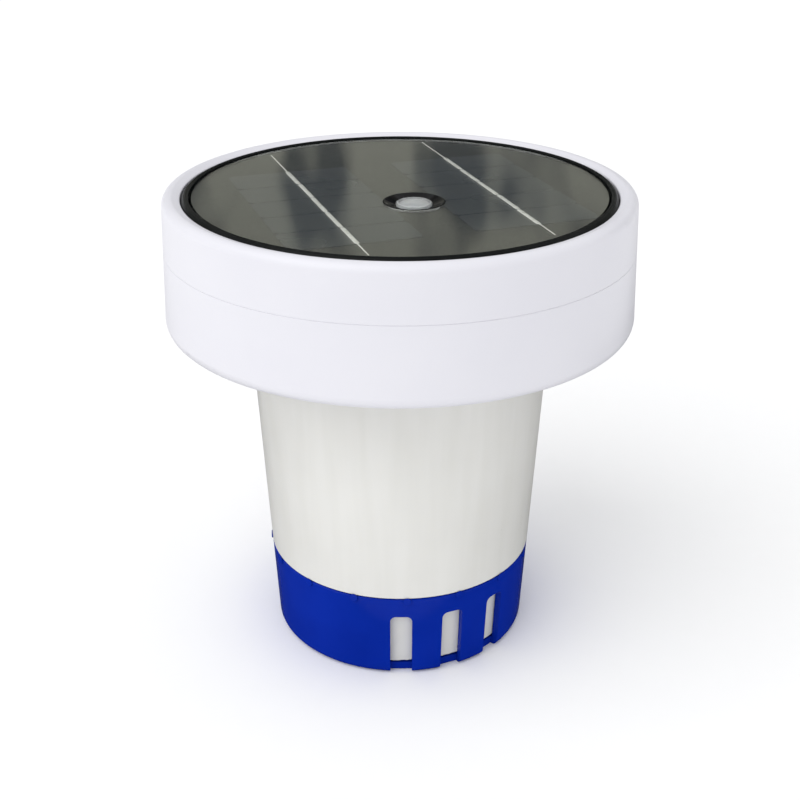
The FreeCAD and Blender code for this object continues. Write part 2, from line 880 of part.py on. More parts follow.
def button_cap():
    """Clear push button with a shallow crown, a retaining flange and a stem."""
    skirt_top = button_top - button_crown / 2
    crown_edge = button_radius - button_rim_width
    dish = button_crown / 2
    profile = [
        V(0, 0, plunger_top),
        V(button_stem_radius, 0, plunger_top),
        V(button_stem_radius, 0, button_flange_bottom),
        V(button_radius + button_flange, 0, button_flange_bottom),
        V(button_radius + button_flange, 0, button_flange_top),
        V(button_radius, 0, button_flange_top),
        V(button_radius, 0, skirt_top),
        V(crown_edge, 0, button_top),
        V(crown_edge - button_rim_width, 0, skirt_top - dish / 2),
    ]
    edges = [Part.LineSegment(start, end).toShape() for start, end in zip(profile, profile[1:])]
    edges.append(crown_arc(profile[-1].x, profile[-1].z, button_top))
    edges.append(Part.LineSegment(V(0, 0, button_top), profile[0]).toShape())
    body = Part.Face(Part.Wire(edges)).revolve(V(0, 0, 0), UP, 360)
    return moved(body, button_place())


def return_boot():
    """Rubber boot that seals the stem and pushes the button back up."""
    outer = barrel_bore - stem_clearance
    inner = button_stem_radius + stem_clearance
    waist = (inner + outer) / 2
    foot_top = retainer_top + boot_wall
    body = turned([
        (outer - 2 * boot_wall, retainer_top),
        (outer, retainer_top),
        (outer, foot_top),
        (outer - boot_wall, foot_top),
        (waist + boot_wall, button_flange_bottom),
        (inner, button_flange_bottom),
        (inner, button_flange_bottom - boot_wall),
        (waist, button_flange_bottom - boot_wall),
    ])
    return moved(body, button_place())


def button_retainer():
    """Ring pressed into the barrel's lower end that the boot stands on."""
    body = ring(button_stem_radius + stem_clearance, barrel_bore - thread_bite, barrel_bottom, retainer_top)
    return moved(body, button_place())


def push_switch():
    """Switch body on the control board, with a well for its plunger."""
    body = spun(block(switch_size, switch_size, control_top, switch_top), panel_turn)
    well = rod(plunger_radius + thread_bite, switch_top - plunger_rise, switch_top)
    return moved(body.cut(well), button_place())


def switch_plunger():
    """Plunger of the switch, under the button's stem."""
    bottom = switch_top - plunger_rise + button_travel + boss_gap
    return rod(plunger_radius, bottom, plunger_top, button_place())


# ---- electronics ------------------------------------------------------------------------
def on_board(across, along):
    """Place on the control board, from its centre."""
    return panel_place(across, button_offset + along)


def control_board():
    body = block(control_board_length, control_board_width, control_bottom, control_top)
    body = moved(spun(body, panel_turn), on_board(0, 0))
    radius = m25_radius + screw_clearance
    holes = []
    for place in control_board_corners():
        holes.append(rod(radius, control_bottom - overcut, control_top + overcut, place))
    return body.cut(holes)


def board_screws():
    one = m25_screw(board_screw_length)
    seat = V(0, 0, control_bottom)
    return Part.makeCompound([moved(one, place + seat) for place in control_board_corners()])


def control_chip():
    body = spun(block(chip_size, chip_size / 2, control_top, control_top + chip_height), panel_turn)
    return moved(body, on_board(-component_across, component_along))


def charge_coil():
    place = on_board(component_across, component_along)
    return rod(coil_radius, control_top, control_top + coil_height, place)


def board_capacitors():
    """Two upright capacitors beside the switch."""
    cans = []
    for side in (-1, 1):
        place = on_board(side * capacitor_across, component_along / 2)
        cans.append(rod(capacitor_radius, control_top, control_top + capacitor_height, place))
    return Part.makeCompound(cans)


def battery_place():
    return panel_place(0, -battery_offset)


def holder_floor():
    return ceiling_top + pad_thickness + holder_wall


def battery_axis_height():
    return holder_floor() + battery_radius + battery_clearance / 2


def battery_pad():
    """Double-sided foam pad under the battery holder."""
    length = battery_length - 2 * pad_end_inset
    width = 2 * (battery_radius - pad_side_inset)
    body = block(length, width, ceiling_top, ceiling_top + pad_thickness)
    return moved(spun(body, panel_turn), battery_place())


def battery_holder():
    """Open cradle for the cell, with a finger gap at the middle of each side wall."""
    inner_length = battery_length + 2 * holder_end_room
    inner_width = holder_width - 2 * holder_wall
    bottom = ceiling_top + pad_thickness
    top = bottom + holder_height
    body = block(inner_length + 2 * holder_wall, holder_width, bottom, top)
    body = body.cut(block(inner_length, inner_width, holder_floor(), top))
    gap = block(battery_length / 3, 2 * holder_width, holder_floor() + holder_height / 3, top)
    return moved(spun(body.cut(gap), panel_turn), battery_place())


def battery_cell():
    """Single round lithium cell with a raised positive end."""
    centre = V(0, 0, battery_axis_height())
    button_length = contact_stand / 2
    half = V(battery_length / 2, 0, 0)
    can = Part.makeCylinder(battery_radius, battery_length, centre - half, V(1, 0, 0))
    tip = Part.makeCylinder(battery_radius / 3, button_length, centre + half, V(1, 0, 0))
    return moved(spun(joined([can, tip]), panel_turn), battery_place())


def battery_contacts():
    """Sprung contact plates at the holder's ends, each with a raised dimple."""
    reach = battery_length / 2 + holder_end_room
    height = battery_axis_height()
    plates = []
    for side in (-1, 1):
        plate = block(
            contact_thickness,
            contact_width,
            holder_floor(),
            ceiling_top + pad_thickness + holder_height,
            V(side * (reach - contact_thickness / 2), 0, 0),
        )
        start = V(side * (reach - contact_thickness / 2), 0, height)
        inward = V(-side, 0, 0)
        dimple = Part.makeCone(contact_width / 4, contact_width / 8, contact_stand, start, inward)
        plates.append(moved(spun(joined([plate, dimple]), panel_turn), battery_place()))
    return Part.makeCompound(plates)


def lamp_post_places():
    return [polar(lamp_post_circle, angle) for angle in spread(lamp_post_count, FRONT + panel_turn)]


def lamp_board_bottom():
    return ceiling_top + lamp_board_lift


def lamp_window():
    """Clear plug in the socket's ceiling that the lamp shines down through."""
    hole = lamp_window_radius - plug_clearance
    flange = lamp_window_radius + lamp_window_flange
    flange_bottom = ceiling_top + lamp_seal_thickness
    return turned([
        (0, socket_ceiling),
        (hole, socket_ceiling, float_wall / 5),
        (hole, flange_bottom),
        (flange, flange_bottom),
        (flange, flange_bottom + lamp_window_flange_height),
        (0, flange_bottom + lamp_window_flange_height),
    ])


def lamp_window_seal():
    inner = lamp_window_radius + lamp_window_flange / 5
    outer = lamp_window_radius + lamp_window_flange
    return ring(inner, outer, ceiling_top, ceiling_top + lamp_seal_thickness)


def lamp_board():
    """Small round board that carries the lamp's diodes, facing down into the cup."""
    bottom = lamp_board_bottom()
    radius = m25_radius + screw_clearance
    top = bottom + board_thickness + overcut
    holes = [rod(radius, bottom - overcut, top, place) for place in lamp_post_places()]
    return rod(lamp_board_radius, bottom, bottom + board_thickness).cut(holes)


def lamp_diodes():
    top = lamp_board_bottom()
    one = block(led_size, led_size, top - led_height, top, V(led_circle, 0, 0))
    return Part.makeCompound([spun(one, angle) for angle in spread(led_count, -FRONT + panel_turn)])


def lamp_board_screws():
    one = flipped(m25_screw(lamp_screw_length))
    seat = V(0, 0, lamp_board_bottom() + board_thickness)
    return Part.makeCompound([moved(one, place + seat) for place in lamp_post_places()])


# ---- leads ------------------------------------------------------------------------------
def panel_lead(side):
    """Lead from the panel board down through the tray to the control board."""
    top_place = panel_lead_places()[(side + 1) // 2]
    low_place = on_board(side * capacitor_across, control_board_width / 3)
    middle = tray_bottom - board_below_tray / 2
    return lead([
        top_place + V(0, 0, panel_board_bottom),
        top_place + V(0, 0, middle),
        low_place + V(0, 0, middle),
        low_place + V(0, 0, control_top),
    ])


def battery_lead(side):
    """Lead from a battery contact, over the holder's corner, to the control board's edge."""
    reach = battery_length / 2 + holder_end_room - contact_thickness / 2
    rest = ceiling_top + pad_thickness + holder_height
    over = rest + holder_height / 3
    low_across = side * (control_board_length / 2 - 2 * board_hole_inset - m25_head_radius)
    contact = panel_place(side * reach, -battery_offset)
    beside_cell = panel_place(side * reach, 2 * battery_radius - battery_offset)
    board = on_board(low_across, board_hole_inset - control_board_width / 2)
    return lead([
        contact + V(0, 0, rest),
        contact + V(0, 0, over),
        beside_cell + V(0, 0, over),
        board + V(0, 0, over),
        board + V(0, 0, control_top),
    ])


def lamp_lead(side):
    """Short straight lead from the lamp board up to the control board."""
    place = panel_place(side * lamp_board_radius / 3, lamp_board_radius / 3)
    return rod(lead_radius, lamp_board_bottom() + board_thickness, control_bottom, place)


# ---- writing the parts ------------------------------------------------------------------
parts = {
    "dosing_collar": dosing_collar(),
    "tablet_cup": tablet_cup(),
    "neck_gasket": neck_gasket(),
    "float_lower_shell": float_lower_shell(),
    "float_upper_shell": float_upper_shell(),
    "seam_seal": seam_seal(),
    "shell_screws": shell_screws(),
    "screw_plugs": screw_plugs(),
    "panel_tray": panel_tray(),
    "tray_seal": tray_seal(),
    "tray_screws": tray_screws(),
    "panel_board": panel_board(),
    "solar_cells": solar_cells(),
    "cell_ribbons": cell_ribbons(),
    "panel_window": panel_window(),
    "button_bezel": button_bezel(),
    "bezel_nut": bezel_nut(),
    "button_cap": button_cap(),
    "return_boot": return_boot(),
    "button_retainer": button_retainer(),
    "push_switch": push_switch(),
    "switch_plunger": switch_plunger(),
    "control_board": control_board(),
    "control_chip": control_chip(),
    "charge_coil": charge_coil(),
    "board_capacitors": board_capacitors(),
    "board_screws": board_screws(),
    "battery_holder": battery_holder(),
    "battery_pad": battery_pad(),
    "battery_cell": battery_cell(),
    "battery_contacts": battery_contacts(),
    "lamp_window": lamp_window(),
    "lamp_window_seal": lamp_window_seal(),
    "lamp_board": lamp_board(),
    "lamp_diodes": lamp_diodes(),
    "lamp_board_screws": lamp_board_screws(),
    "panel_lead_red": panel_lead(1),
    "panel_lead_black": panel_lead(-1),
    "battery_lead_red": battery_lead(1),
    "battery_lead_black": battery_lead(-1),
    "lamp_lead_red": lamp_lead(1),
    "lamp_lead_black": lamp_lead(-1),
}

os.makedirs("parts", exist_ok=True)
for name, shape in parts.items():
    shape.exportStep("parts/" + name + ".step")
    print(name, shape.isValid(), len(shape.Solids), round(shape.Volume))
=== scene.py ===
import math

import bmesh
import bpy
from mathutils import Matrix, Vector


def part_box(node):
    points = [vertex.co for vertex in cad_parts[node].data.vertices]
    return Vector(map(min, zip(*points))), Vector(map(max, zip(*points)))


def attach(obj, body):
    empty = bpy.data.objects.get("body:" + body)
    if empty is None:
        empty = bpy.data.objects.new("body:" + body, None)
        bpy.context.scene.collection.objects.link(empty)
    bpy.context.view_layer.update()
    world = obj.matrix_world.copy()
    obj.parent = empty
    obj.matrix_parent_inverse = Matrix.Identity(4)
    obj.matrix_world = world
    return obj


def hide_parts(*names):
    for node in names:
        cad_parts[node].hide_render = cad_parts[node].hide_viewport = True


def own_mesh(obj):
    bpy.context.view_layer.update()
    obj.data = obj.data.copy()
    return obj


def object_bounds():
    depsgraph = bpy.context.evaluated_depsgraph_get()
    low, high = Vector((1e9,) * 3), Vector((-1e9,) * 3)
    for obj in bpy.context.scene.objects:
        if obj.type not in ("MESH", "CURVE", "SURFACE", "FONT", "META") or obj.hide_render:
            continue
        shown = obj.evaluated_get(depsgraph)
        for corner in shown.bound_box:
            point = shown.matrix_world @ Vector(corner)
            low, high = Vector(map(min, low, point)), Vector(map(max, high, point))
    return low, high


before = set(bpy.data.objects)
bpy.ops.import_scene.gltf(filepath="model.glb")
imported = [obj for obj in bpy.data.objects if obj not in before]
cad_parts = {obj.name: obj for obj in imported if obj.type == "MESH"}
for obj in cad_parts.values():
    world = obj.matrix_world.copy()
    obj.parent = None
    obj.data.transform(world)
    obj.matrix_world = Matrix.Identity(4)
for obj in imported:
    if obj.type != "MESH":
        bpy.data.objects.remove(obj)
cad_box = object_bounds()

# ---- camera -----------------------------------------------------------------------------
# A standing viewer's look down onto the dispenser: the panel shows as a narrow oval and the
# collar's slots stay in sight. The camera aims a little below the float.
seam_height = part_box("float_lower_shell")[1][2]
look_at = Vector((0, 0, seam_height - 0.0748))
camera_distance = 0.5737
camera_elevation = math.radians(25.26)
camera_data = bpy.data.cameras.new("camera")
camera_data.lens = 58.2
camera_data.sensor_width = 36
camera = bpy.data.objects.new("camera", camera_data)
bpy.context.scene.collection.objects.link(camera)
towards_viewer = Vector((0, -math.cos(camera_elevation), math.sin(camera_elevation)))
camera.location = look_at + camera_distance * towards_viewer
camera.rotation_euler = (math.pi / 2 - camera_elevation, 0, 0)
bpy.context.scene.camera = camera

# ---- floor and light --------------------------------------------------------------------
# A pale matt floor, a bright even room, and one broad soft light from the front left.
# Out of sight, dark felt and a mottled cloth stand where the glossy plastics and the panel
# mirror them.
def own_shader(name):
    """New node material, its node tree and its main shader."""
    made = bpy.data.materials.new(name)
    made.use_nodes = True
    return made, made.node_tree, made.node_tree.nodes["Principled BSDF"]


def noise(tree, size, detail=2.0, stretch=(1, 1, 1)):
    """Value of a noise whose features are about one size, in metres, on the piece's own coordinates."""
    place = tree.nodes.new("ShaderNodeTexCoord")
    mapping = tree.nodes.new("ShaderNodeMapping")
    mapping.inputs["Scale"].default_value = stretch
    texture = tree.nodes.new("ShaderNodeTexNoise")
    texture.inputs["Scale"].default_value = 1 / size
    texture.inputs["Detail"].default_value = detail
    tree.links.new(place.outputs["Object"], mapping.inputs["Vector"])
    tree.links.new(mapping.outputs["Vector"], texture.inputs["Vector"])
    return texture.outputs["Fac"]


def between(tree, value, low, high, start=0.3, end=0.7):
    """A number that runs from low to high as a value runs from start to end."""
    spread = tree.nodes.new("ShaderNodeMapRange")
    spread.inputs["From Min"].default_value = start
    spread.inputs["From Max"].default_value = end
    spread.inputs["To Min"].default_value = low
    spread.inputs["To Max"].default_value = high
    tree.links.new(value, spread.inputs["Value"])
    return spread.outputs["Result"]


def blend_colours(tree, value, first, second):
    """Colour between two colours, or colour outputs, by a value."""
    mix = tree.nodes.new("ShaderNodeMix")
    mix.data_type = "RGBA"
    for socket, colour in ((mix.inputs[6], first), (mix.inputs[7], second)):
        if isinstance(colour, (tuple, list)):
            socket.default_value = (*colour, 1)
        else:
            tree.links.new(colour, socket)
    tree.links.new(value, mix.inputs[0])
    return mix.outputs[2]


def raised(tree, value, height, before=None):
    """Surface direction with a value's relief of one height, in metres, on top of an earlier one."""
    bump = tree.nodes.new("ShaderNodeBump")
    bump.inputs["Strength"].default_value = 1
    bump.inputs["Distance"].default_value = height
    tree.links.new(value, bump.inputs["Height"])
    if before:
        tree.links.new(before, bump.inputs["Normal"])
    return bump.outputs["Normal"]


def flat_square(name, size, height):
    """Level square sheet centred on the dispenser."""
    half = size / 2
    mesh = bpy.data.meshes.new(name)
    corners = [(-half, -half, height), (half, -half, height), (half, half, height), (-half, half, height)]
    mesh.from_pydata(corners, [], [(0, 1, 2, 3)])
    sheet = bpy.data.objects.new(name, mesh)
    bpy.context.scene.collection.objects.link(sheet)
    return sheet


floor = flat_square("floor", 12, cad_box[0][2] - 0.0002)
floor_paint, tree, shader = own_shader("floor_paint")
grain = noise(tree, 0.012, 4)
floor_tone = blend_colours(tree, grain, (0.955, 0.955, 0.955), (0.97, 0.97, 0.97))
tree.links.new(floor_tone, shader.inputs["Base Color"])
tree.links.new(between(tree, grain, 0.6, 0.7), shader.inputs["Roughness"])
shader.inputs["Specular IOR Level"].default_value = 0
floor.data.materials.append(floor_paint)


def hide_but_in_gloss(thing):
    """Leaves a thing to show only as a mirrored shape in glossy surfaces."""
    thing.visible_camera = False
    thing.visible_diffuse = False
    thing.visible_shadow = False


def upright_screen(name, start, end, low, high, finish):
    """Upright screen between two floor places, which only shows as a mirrored shape in gloss."""
    mesh = bpy.data.meshes.new(name)
    corners = [(*start, low), (*end, low), (*end, high), (*start, high)]
    mesh.from_pydata(corners, [], [(0, 1, 2, 3)])
    mesh.materials.append(finish)
    screen = bpy.data.objects.new(name, mesh)
    bpy.context.scene.collection.objects.link(screen)
    hide_but_in_gloss(screen)
    return screen


felt, tree, shader = own_shader("felt")
nap = noise(tree, 0.004)
felt_tone = blend_colours(tree, nap, (0.02, 0.02, 0.018), (0.04, 0.04, 0.036))
tree.links.new(felt_tone, shader.inputs["Base Color"])
mottled, tree, shader = own_shader("mottled_cloth")
patches = between(tree, noise(tree, 0.2, 2, (1.6, 1, 0.7)), 0, 1, 0.42, 0.56)
cloth_tone = blend_colours(tree, patches, (0.02, 0.024, 0.035), (0.27, 0.27, 0.23))
tree.links.new(cloth_tone, shader.inputs["Base Color"])
right_screen = upright_screen("right_screen", (0.112, -0.06), (0.30, 0.45), 0, 0.14, felt)
left_screen = upright_screen("left_screen", (-0.112, 0.0), (-0.30, 0.45), 0, 0.14, felt)
back_screen = upright_screen("back_screen", (-4, 1.5), (4, 1.5), 0.25, 1.7, mottled)
mat_size, mat_behind, mat_lift = 0.7, 0.26, 0.0003
dark_mat = flat_square("dark_mat", mat_size, cad_box[0][2] + mat_lift)
dark_mat.data.materials.append(felt)
dark_mat.data.transform(Matrix.Translation((0, mat_behind, 0)))
hide_but_in_gloss(dark_mat)

room = bpy.data.worlds.new("room")
room.use_nodes = True
room.node_tree.nodes["Background"].inputs["Color"].default_value = (0.985, 0.99, 1, 1)
room.node_tree.nodes["Background"].inputs["Strength"].default_value = 0.82
bpy.context.scene.world = room

soft_light_data = bpy.data.lights.new("soft_light", "SUN")
soft_light_data.energy = 1.2
soft_light_data.angle = math.radians(60)
soft_light = bpy.data.objects.new("soft_light", soft_light_data)
soft_light.rotation_euler = (math.radians(42), 0, math.radians(-48))
bpy.context.scene.collection.objects.link(soft_light)
bpy.context.scene.view_settings.view_transform = "Standard"

# ---- dosing collar ----------------------------------------------------------------------
# Slotted cup of glossy blue polypropylene, injection moulded in one piece with its floor,
# index nubs and stop peg. It snaps over the bead on the tablet cup's skirt and turns there.
def moulded(name, colour, deeper, roughness, cloud_size=0.03, grain=0.000012, sink=0.0, edge=0.0003):
    """Moulded plastic: flow clouds in the colour, uneven gloss, a fine grain, slight sinks, soft edges."""
    finish, tree, shader = own_shader(name)
    clouds = noise(tree, cloud_size, 3)
    specks = noise(tree, 0.0007, 1)
    tone = blend_colours(tree, between(tree, clouds, 0, 1), deeper, colour)
    tree.links.new(tone, shader.inputs["Base Color"])
    gloss = tree.nodes.new("ShaderNodeMath")
    gloss.operation = "ADD"
    tree.links.new(between(tree, clouds, roughness * 0.85, roughness * 1.1), gloss.inputs[0])
    tree.links.new(between(tree, specks, -0.02, 0.03), gloss.inputs[1])
    tree.links.new(gloss.outputs[0], shader.inputs["Roughness"])
    soft_edge = tree.nodes.new("ShaderNodeBevel")
    soft_edge.samples = 4
    soft_edge.inputs["Radius"].default_value = edge
    direction = soft_edge.outputs["Normal"]
    if sink:
        direction = raised(tree, noise(tree, 0.022, 1), sink, direction)
    tree.links.new(raised(tree, specks, grain, direction), shader.inputs["Normal"])
    return finish, tree, shader


def dress(node, finish):
    """Gives a CAD node its finish."""
    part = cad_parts[node]
    part.data.materials.clear()
    part.data.materials.append(finish)
    return part


blue_plastic, tree, shader = moulded(
    "blue_plastic", (0.002, 0.022, 0.33), (0.0015, 0.018, 0.28), 0.15, grain=0.000006, sink=0.00009
)
shader.inputs["Specular IOR Level"].default_value = 0.06
dress("dosing_collar", blue_plastic)

# ---- tablet cup -------------------------------------------------------------------------
# Tapered cup of off-white polypropylene that holds the chlorine tablets, moulded in one
# piece with its neck, quick thread, windowed skirt and snap bead.
cup_plastic, tree, shader = moulded(
    "cup_plastic", (0.755, 0.75, 0.72), (0.72, 0.715, 0.685), 0.34,
    cloud_size=0.045, grain=0.00001, sink=0.00012,
)
shader.inputs["Subsurface Weight"].default_value = 0.08
shader.inputs["Subsurface Radius"].default_value = (0.0025, 0.0022, 0.0018)
flow_lines = noise(tree, 0.006, 2, (1, 1, 0.06))
flow = blend_colours(tree, between(tree, flow_lines, 0, 1, 0.35, 0.8), (1, 1, 1), (0.955, 0.955, 0.945))
tinted = tree.nodes.new("ShaderNodeMix")
tinted.data_type = "RGBA"
tinted.blend_type = "MULTIPLY"
tinted.inputs[0].default_value = 1
tree.links.new(shader.inputs["Base Color"].links[0].from_socket, tinted.inputs[6])
tree.links.new(flow, tinted.inputs[7])
tree.links.new(tinted.outputs[2], shader.inputs["Base Color"])
dress("tablet_cup", cup_plastic)

# ---- neck gasket ------------------------------------------------------------------------
# Flat ring cut from grey rubber sheet, which the head presses onto the cup's rim.
def rubber(name, colour, deeper, roughness=0.62, grain=0.00003):
    """Matt rubber: dusty bloom over the colour and a fine pebbled grain."""
    finish, tree, shader = own_shader(name)
    bloom = noise(tree, 0.008, 4)
    pebbles = noise(tree, 0.0005, 2)
    tone = blend_colours(tree, between(tree, bloom, 0, 1), deeper, colour)
    tree.links.new(tone, shader.inputs["Base Color"])
    tree.links.new(between(tree, bloom, roughness, roughness + 0.12), shader.inputs["Roughness"])
    tree.links.new(raised(tree, pebbles, grain), shader.inputs["Normal"])
    return finish


grey_rubber = rubber("grey_rubber", (0.15, 0.155, 0.16), (0.10, 0.105, 0.11))
dress("neck_gasket", grey_rubber)

# ---- float shells -----------------------------------------------------------------------
# Two hollow halves of satin white plastic, screwed together on a rubber ring at the seam.
# The lower one carries the threaded socket, the upper one the lip and the panel's ledge.
float_plastic, tree, shader = moulded(
    "float_plastic", (0.76, 0.755, 0.80), (0.735, 0.73, 0.78), 0.42,
    cloud_size=0.05, grain=0.00001, sink=0.00016,
)
shader.inputs["Subsurface Weight"].default_value = 0.06
shader.inputs["Subsurface Radius"].default_value = (0.002, 0.002, 0.0022)
for half_shell in ("float_lower_shell", "float_upper_shell"):
    dress(half_shell, float_plastic)
dress("seam_seal", grey_rubber)

# ---- shell screws and plugs -------------------------------------------------------------
# Six plated pan-head screws come up through the lower shell into the upper one, and a soft
# white rubber plug closes each screw's recess in the underside.
plated_steel, tree, shader = own_shader("plated_steel")
scuffs = noise(tree, 0.0012, 4)
tree.links.new(
    blend_colours(tree, between(tree, scuffs, 0, 1), (0.48, 0.48, 0.5), (0.66, 0.66, 0.68)),
    shader.inputs["Base Color"],
)
tree.links.new(between(tree, scuffs, 0.2, 0.42), shader.inputs["Roughness"])
tree.links.new(raised(tree, scuffs, 0.00001), shader.inputs["Normal"])
shader.inputs["Metallic"].default_value = 1


def turned_shape(points, steps, middle=(0, 0)):
    """Shape turned about an upright axis through (radius, height) points; a radius of 0 closes an end."""
    shape = bmesh.new()
    rings = []
    for radius, height in points:
        if radius == 0:
            rings.append([shape.verts.new((middle[0], middle[1], height))])
            continue
        ring = []
        for step in range(steps):
            turn = 2 * math.pi * step / steps
            spot = (middle[0] + radius * math.cos(turn), middle[1] + radius * math.sin(turn), height)
            ring.append(shape.verts.new(spot))
        rings.append(ring)
    closed = points[0][0] != 0 and points[-1][0] != 0
    pairs = list(zip(rings, rings[1:])) + ([(rings[-1], rings[0])] if closed else [])
    for low, high in pairs:
        for step in range(steps):
            following = (step + 1) % steps
            if len(low) == 1:
                shape.faces.new((low[0], high[following], high[step]))
            elif len(high) == 1:
                shape.faces.new((low[step], low[following], high[0]))
            else:
                shape.faces.new((low[step], low[following], high[following], high[step]))
    bmesh.ops.recalc_face_normals(shape, faces=shape.faces)
    return shape


def made_object(name, shape, finish, smooth_below=35):
    """Object from a shape, smooth except across edges sharper than an angle."""
    mesh = bpy.data.meshes.new(name)
    shape.to_mesh(mesh)
    shape.free()
    mesh.materials.append(finish)
    mesh.shade_smooth()
    mesh.set_sharp_from_angle(angle=math.radians(smooth_below))
    thing = bpy.data.objects.new(name, mesh)
    bpy.context.scene.collection.objects.link(thing)
    return thing


def fitted(thing, body, slot, *stands_for):
    """Fixes a finished piece to its body and hides the nodes it stands for; the slot is not used."""
    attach(thing, body)
    if stands_for:
        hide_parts(*stands_for)
    return thing


def repeat_tree():
    """Node tree that sets a copy of a part on every point, turned about the upright."""
    tree = bpy.data.node_groups.new("set_on_points", "GeometryNodeTree")
    tree.interface.new_socket("Places", in_out="INPUT", socket_type="NodeSocketGeometry")
    tree.interface.new_socket("Part", in_out="INPUT", socket_type="NodeSocketObject")
    tree.interface.new_socket("Turn", in_out="INPUT", socket_type="NodeSocketFloat")
    tree.interface.new_socket("Turn per place", in_out="INPUT", socket_type="NodeSocketFloat")
    tree.interface.new_socket("Finish", in_out="INPUT", socket_type="NodeSocketMaterial")
    tree.interface.new_socket("Pieces", in_out="OUTPUT", socket_type="NodeSocketGeometry")
    given = tree.nodes.new("NodeGroupInput")
    result = tree.nodes.new("NodeGroupOutput")
    part = tree.nodes.new("GeometryNodeObjectInfo")
    index = tree.nodes.new("GeometryNodeInputIndex")
    steps = tree.nodes.new("ShaderNodeMath")
    steps.operation = "MULTIPLY_ADD"
    direction = tree.nodes.new("ShaderNodeCombineXYZ")
    copies = tree.nodes.new("GeometryNodeInstanceOnPoints")
    real = tree.nodes.new("GeometryNodeRealizeInstances")
    finish = tree.nodes.new("GeometryNodeSetMaterial")
    links = tree.links
    links.new(given.outputs["Part"], part.inputs["Object"])
    links.new(index.outputs["Index"], steps.inputs[0])
    links.new(given.outputs["Turn per place"], steps.inputs[1])
    links.new(given.outputs["Turn"], steps.inputs[2])
    links.new(steps.outputs[0], direction.inputs["Z"])
    links.new(given.outputs["Places"], copies.inputs["Points"])
    links.new(part.outputs["Geometry"], copies.inputs["Instance"])
    links.new(direction.outputs["Vector"], copies.inputs["Rotation"])
    links.new(copies.outputs["Instances"], real.inputs["Geometry"])
    links.new(real.outputs["Geometry"], finish.inputs["Geometry"])
    links.new(given.outputs["Finish"], finish.inputs["Material"])
    links.new(finish.outputs["Geometry"], result.inputs["Pieces"])
    return tree


set_on_points = repeat_tree()


def repeated(name, part, places, finish, turn=0.0, turn_per_place=0.0, smooth_below=35):
    """One mesh of a part set at every place by the node tree; the single part is then removed."""
    points = bpy.data.meshes.new(name + "_places")
    points.from_pydata([tuple(place) for place in places], [], [])
    host = bpy.data.objects.new(name + "_host", points)
    bpy.context.scene.collection.objects.link(host)
    modifier = host.modifiers.new("set", "NODES")
    modifier.node_group = set_on_points
    values = {"Part": part, "Turn": turn, "Turn per place": turn_per_place, "Finish": finish}
    for item in set_on_points.interface.items_tree:
        if item.in_out == "INPUT" and item.name in values:
            modifier[item.identifier] = values[item.name]
    bpy.context.view_layer.update()
    finished = host.evaluated_get(bpy.context.evaluated_depsgraph_get())
    mesh = bpy.data.meshes.new_from_object(finished)
    mesh.name = name
    bpy.data.objects.remove(host)
    bpy.data.objects.remove(part)
    mesh.materials.clear()
    mesh.materials.append(finish)
    mesh.shade_smooth()
    mesh.set_sharp_from_angle(angle=math.radians(smooth_below))
    thing = bpy.data.objects.new(name, mesh)
    bpy.context.scene.collection.objects.link(thing)
    return thing


def on_circle(radius, count, first, height):
    """Places round a circle about the dispenser's axis, the first at an angle in degrees."""
    places = []
    for index in range(count):
        turn = math.radians(first + 360 * index / count)
        places.append((radius * math.cos(turn), radius * math.sin(turn), height))
    return places


def pan_screw(name, radius, length, head_radius, head_height, pitch, finish, downwards=False):
    """Pan-head screw with a cross recess and a rolled thread, its head's seat at the origin."""
    rise = head_height / 4
    head = [(0, -head_height), (head_radius * 0.6, -head_height), (head_radius * 0.92, -head_height + rise)]
    head += [(head_radius, -head_height + 2 * rise), (head_radius, 0)]
    core = radius * 0.8
    profile = head + [(core, 0)]
    turns = int((length - radius) / pitch)
    for turn in range(turns):
        start = turn * pitch + pitch / 2
        profile += [(core, start), (radius, start + pitch * 0.3), (radius, start + pitch * 0.42)]
        profile += [(core, start + pitch * 0.72)]
    profile += [(core * 0.4, length), (0, length)]
    screw = made_object(name, turned_shape(profile, 28), finish)
    cross = bmesh.new()
    for quarter in (0, math.pi / 2):
        size = Matrix.Diagonal((head_radius * 1.15, head_radius * 0.24, head_height * 1.1, 1))
        place = Matrix.Translation((0, 0, -head_height)) @ Matrix.Rotation(quarter, 4, "Z")
        bmesh.ops.create_cube(cross, size=1, matrix=place @ size)
    cutter = made_object(name + "_cross", cross, finish)
    cut = screw.modifiers.new("cross", "BOOLEAN")
    cut.object = cutter
    cut.solver = "EXACT"
    cut.use_self = True
    bpy.context.view_layer.update()
    mesh = bpy.data.meshes.new_from_object(screw.evaluated_get(bpy.context.evaluated_depsgraph_get()))
    bpy.data.objects.remove(cutter)
    bpy.data.objects.remove(screw)
    if downwards:
        mesh.transform(Matrix.Rotation(math.pi, 4, "X"))
    whole = bpy.data.objects.new(name, mesh)
    bpy.context.scene.collection.objects.link(whole)
    return whole


m4_radius, m4_head_radius, m4_head_height, m4_pitch = 0.002, 0.0036, 0.0026, 0.0012
screws_low, screws_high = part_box("shell_screws")
shell_screw_circle = screws_high.y - m4_head_radius
shell_screw_seat = screws_low.z + m4_head_height
one_screw = pan_screw(
    "one_shell_screw", m4_radius, screws_high.z - shell_screw_seat,
    m4_head_radius, m4_head_height, m4_pitch, plated_steel,
)
shell_screw_places = on_circle(shell_screw_circle, 6, 30, shell_screw_seat)
shell_screws = repeated("shell_screw_set", one_screw, shell_screw_places, plated_steel, 0.4, 0.9)
fitted(shell_screws, "head", "steel", "shell_screws")

